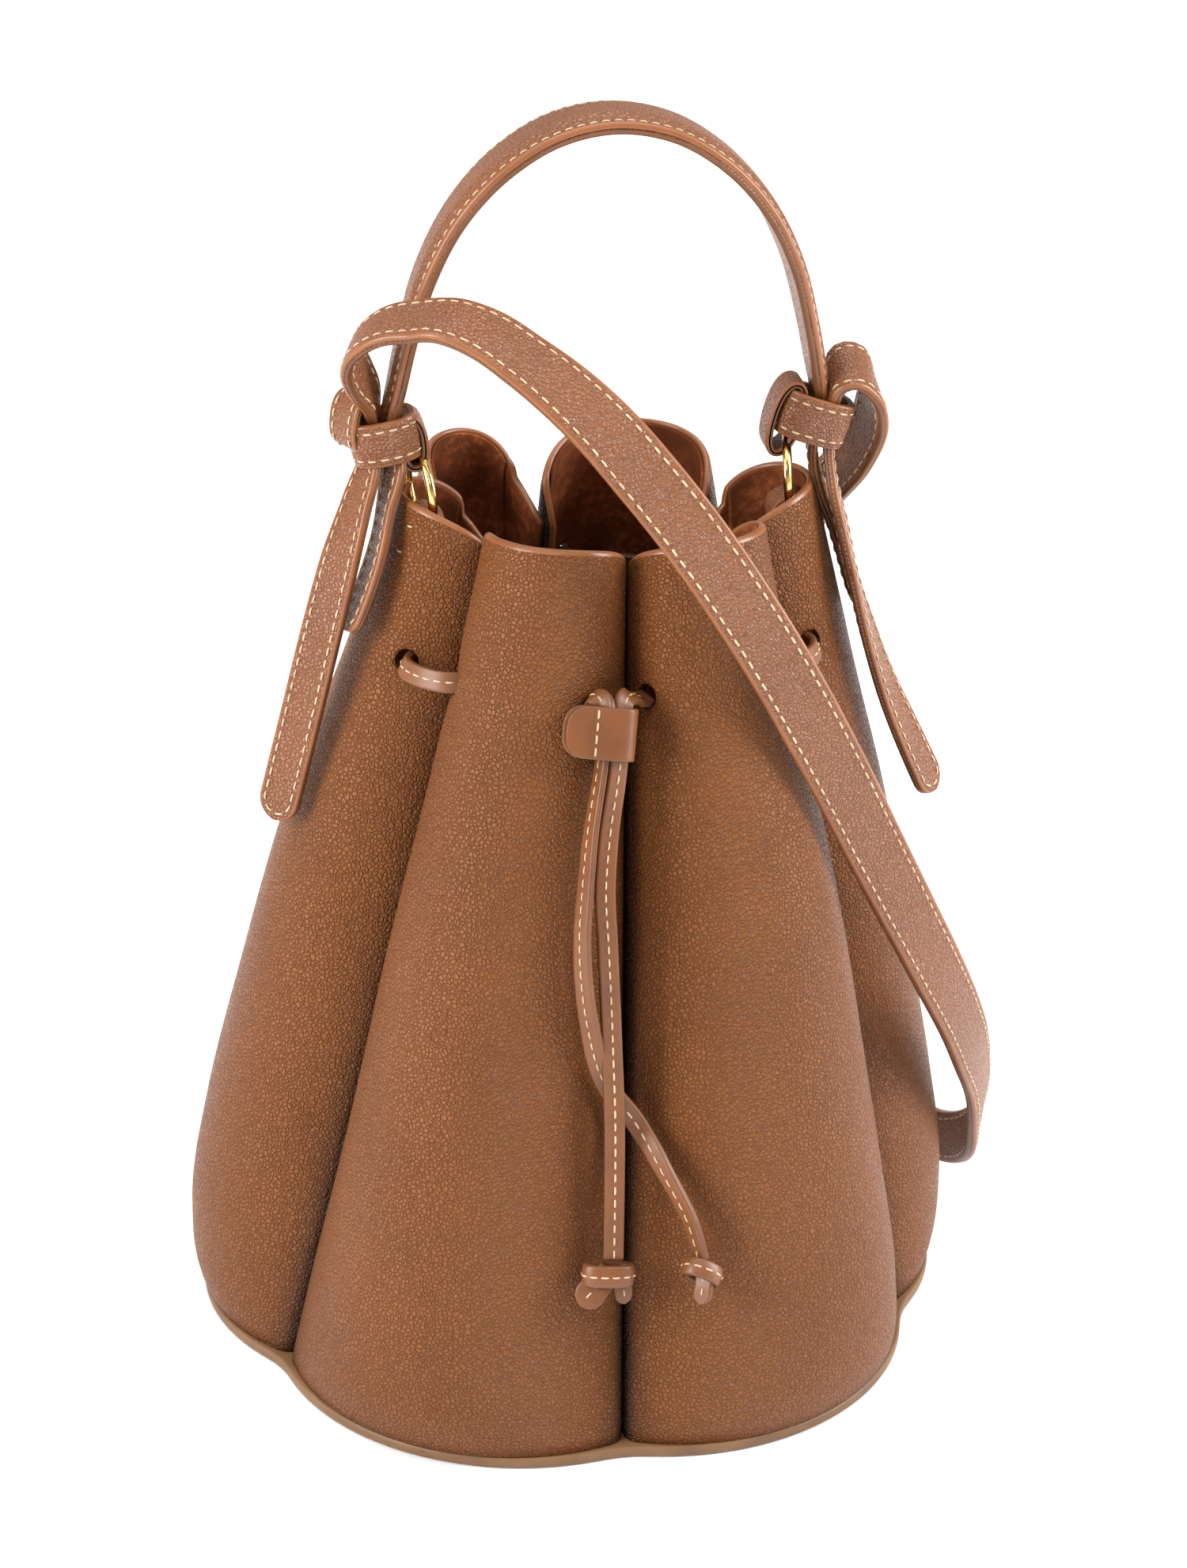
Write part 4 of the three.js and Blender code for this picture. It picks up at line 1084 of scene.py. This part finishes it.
def left_end_knot():
    """Knot at the end of the right tail: a turn of ribbon, a broad round end and a narrow one."""
    frames = loop_frames((-5.2, -94.8, 56.2), (1, 0, -0.08), (0, -0.94, 0.3), 5.8, 3.0, 5.8, 2.3, 40)
    broad = [
        (-4.6, -93.4, 57, -0.3, -0.9, 0.2, 5.6),
        (-7.0, -95.5, 55.2, -0.3, -0.9, 0.3, 7.0),
        (-10.2, -97.2, 52.2, -0.3, -0.85, 0.4, 8.0),
        (-13.0, -97.6, 49.2, -0.3, -0.85, 0.4, 8.0),
    ]
    narrow = [
        (-2.2, -93.5, 56, 0.2, -1, 0.1, 5.0),
        (-1.4, -95, 52, 0.2, -1, 0.1, 5.0),
        (-1.0, -95.6, 47.6, 0.2, -1, 0.1, 4.6),
    ]
    pieces = knot_wrap("end_knot_left_wrap", "end_knot_left", frames)
    pieces += ribbon_tip("end_knot_left_end", broad)
    pieces += ribbon_tip("end_knot_left_point", narrow)
    return pieces


def right_end_knot():
    """Knot at the end of the left tail: a turn of ribbon and a round end."""
    frames = loop_frames(
        (18.8, -99.4, 57.8), (0.85, -0.05, -0.45), (0.26, -0.73, 0.57), 4.3, 3.5, 5.0, 2.2, 40
    )
    end = [
        (19.6, -98.6, 58.5, -0.5, -0.8, 0.1, 4.8),
        (19.2, -101.2, 54.5, -0.6, -0.8, 0.1, 5.0),
        (18.2, -102.4, 50, -0.6, -0.75, 0.1, 5.0),
    ]
    pieces = knot_wrap("end_knot_right_wrap", "end_knot_right", frames)
    pieces += ribbon_tip("end_knot_right_end", end)
    return pieces


def build_drawstring_tails():
    """The two hanging ribbons. They cross, so the right tail ends in the left-hand knot."""
    tails = [
        ("right", TAIL_RIGHT, left_end_knot()),
        ("left", TAIL_LEFT, right_end_knot()),
    ]
    for label, route, knot in tails:
        name = "drawstring_tail_" + label
        frames = frames_along([(*station, CORD_WIDTH) for station in route], 1.0)
        tail = strap(name + "_ribbon", frames, CORD_THICKNESS, RIBBONS)
        add_piece(tail, "strap_leather", "shell", name)
        heights = (CORD_THICKNESS / 2, -CORD_THICKNESS / 2)
        rows = [side_row(frames, 0, 0, height, 2, frames.total) for height in heights]
        thread = stitch_rows(name + "_stitches", rows, "shell", pitch=3.4, length=2.3, size=0.9)


def build_slider():
    """Strap folded round the two ribbons, its two ends sewn together as a flap with round corners."""
    front = [(-12.9, -2.9), (-9, -2.9), (-6, -2.9), (-3, -3.5), (0, -3.7), (3, -3.3), (4.6, -1.2)]
    rear = [(4.6, 1.2), (3, 3), (0, 3.3), (-2.6, 2.6), (-5, -0.6), (-6.6, -1.25), (-9, -1.3), (-13.7, -1.3)]
    up = -SLIDER_AXIS
    side = normalised(np.array([1.0, 0, 0]) - up[0] * up)
    back = np.cross(up, side)
    bend = np.array([SLIDER_PLACE + x * side + y * back for x, y in front + rear])
    knots = distances(bend)
    total = knots[-1]
    reach = np.linspace(0, 1, 8) ** 1.6 * SLIDER_CORNER
    middle = np.linspace(SLIDER_CORNER, total - SLIDER_CORNER, 60)[1:-1]
    at = np.concatenate([reach, middle, total - reach[::-1]])
    place = hermite(knots, bend, at)
    along = normalised(np.gradient(place, at, axis=0))
    across = np.broadcast_to(up, place.shape)
    out = normalised(np.cross(across, along))
    if np.dot(out[4], back) > 0:
        out = -out
    end = np.minimum(np.minimum(at, total - at), SLIDER_CORNER)
    corner = np.sqrt(np.clip(SLIDER_CORNER**2 - (SLIDER_CORNER - end) ** 2, 0, None))
    width = SLIDER_WIDTH - 2 * SLIDER_CORNER + 2 * corner
    frames = new_frames(place, along, across, out, width, at, width, total)
    slider = strap("drawstring_slider_tab", frames, SLIDER_THICKNESS, RIBBONS)
    add_piece(slider, "strap_leather", "slider", "drawstring_slider")
    heights = np.linspace(-6.4, 6.4, 9)[:, None]
    line = SLIDER_PLACE - 5.2 * side - 3.8 * back + heights * up
    normals = np.broadcast_to(-back, line.shape)
    stitch_rows("drawstring_slider_stitches", [(line, normals)], "slider", pitch=3.2, length=2.4)


# ---------- floor and light
def area_light(name, place, target, size, power):
    data = bpy.data.lights.new(name, "AREA")
    data.shape = "RECTANGLE"
    data.size, data.size_y = size
    data.energy = power
    light = bpy.data.objects.new(name, data)
    bpy.context.collection.objects.link(light)
    aim = (Vector(target) - Vector(place)).to_track_quat("-Z", "Y")
    light.matrix_world = Matrix.Translation(place) @ aim.to_matrix().to_4x4()


def studio_world():
    """Soft surroundings, pale near the horizon and dimmer overhead."""
    world = bpy.data.worlds.new("studio")
    bpy.context.scene.world = world
    world.use_nodes = True
    tree = world.node_tree
    place = add_node(tree, "TexCoord").outputs["Generated"]
    parts = add_node(tree, "SeparateXYZ", Vector=place)
    strength = ramp(tree, parts.outputs["Z"], 0.03, 0.36, 0.75, 0.2)
    set_values(tree, tree.nodes["Background"], Color=(1, 1, 1, 1), Strength=strength)


def build_stage():
    """White floor, an even light from above and soft boxes at both sides."""
    bpy.ops.mesh.primitive_plane_add(size=60, location=(0, 0, -0.0003))
    floor = bpy.context.object
    floor.name = "floor"
    floor.data.materials.append(new_material("floor_white", (0.9, 0.9, 0.9, 1), 0.95)[0])
    studio_world()
    sun = bpy.data.lights.new("overhead", "SUN")
    sun.energy = 2.0
    sun.angle = math.radians(80)
    bpy.context.collection.objects.link(bpy.data.objects.new("overhead", sun))
    area_light("floor_wash", (0.1, 1.1, 2.3), (0.1, 0.95, 0), (3.6, 2.6), 36)
    area_light("key_left", (-1.5, -0.6, 0.8), (0, 0, 0.16), (0.7, 1.1), 37)
    area_light("key_right", (1.5, -0.3, 0.8), (0, 0, 0.16), (0.7, 1.1), 40)
    area_light("front_fill", (-0.3, -1.4, 1.3), (0, 0, 0.14), (0.6, 0.5), 3)


build_neck()
build_drawstring_tails()
build_slider()
build_petals()
build_tacks()
build_base()
build_rings()
build_handle()
build_knots()
build_tails()
build_shoulder_strap()
build_stage()

bpy.context.scene.view_settings.view_transform = "Standard"
bpy.context.scene.view_settings.look = "None"
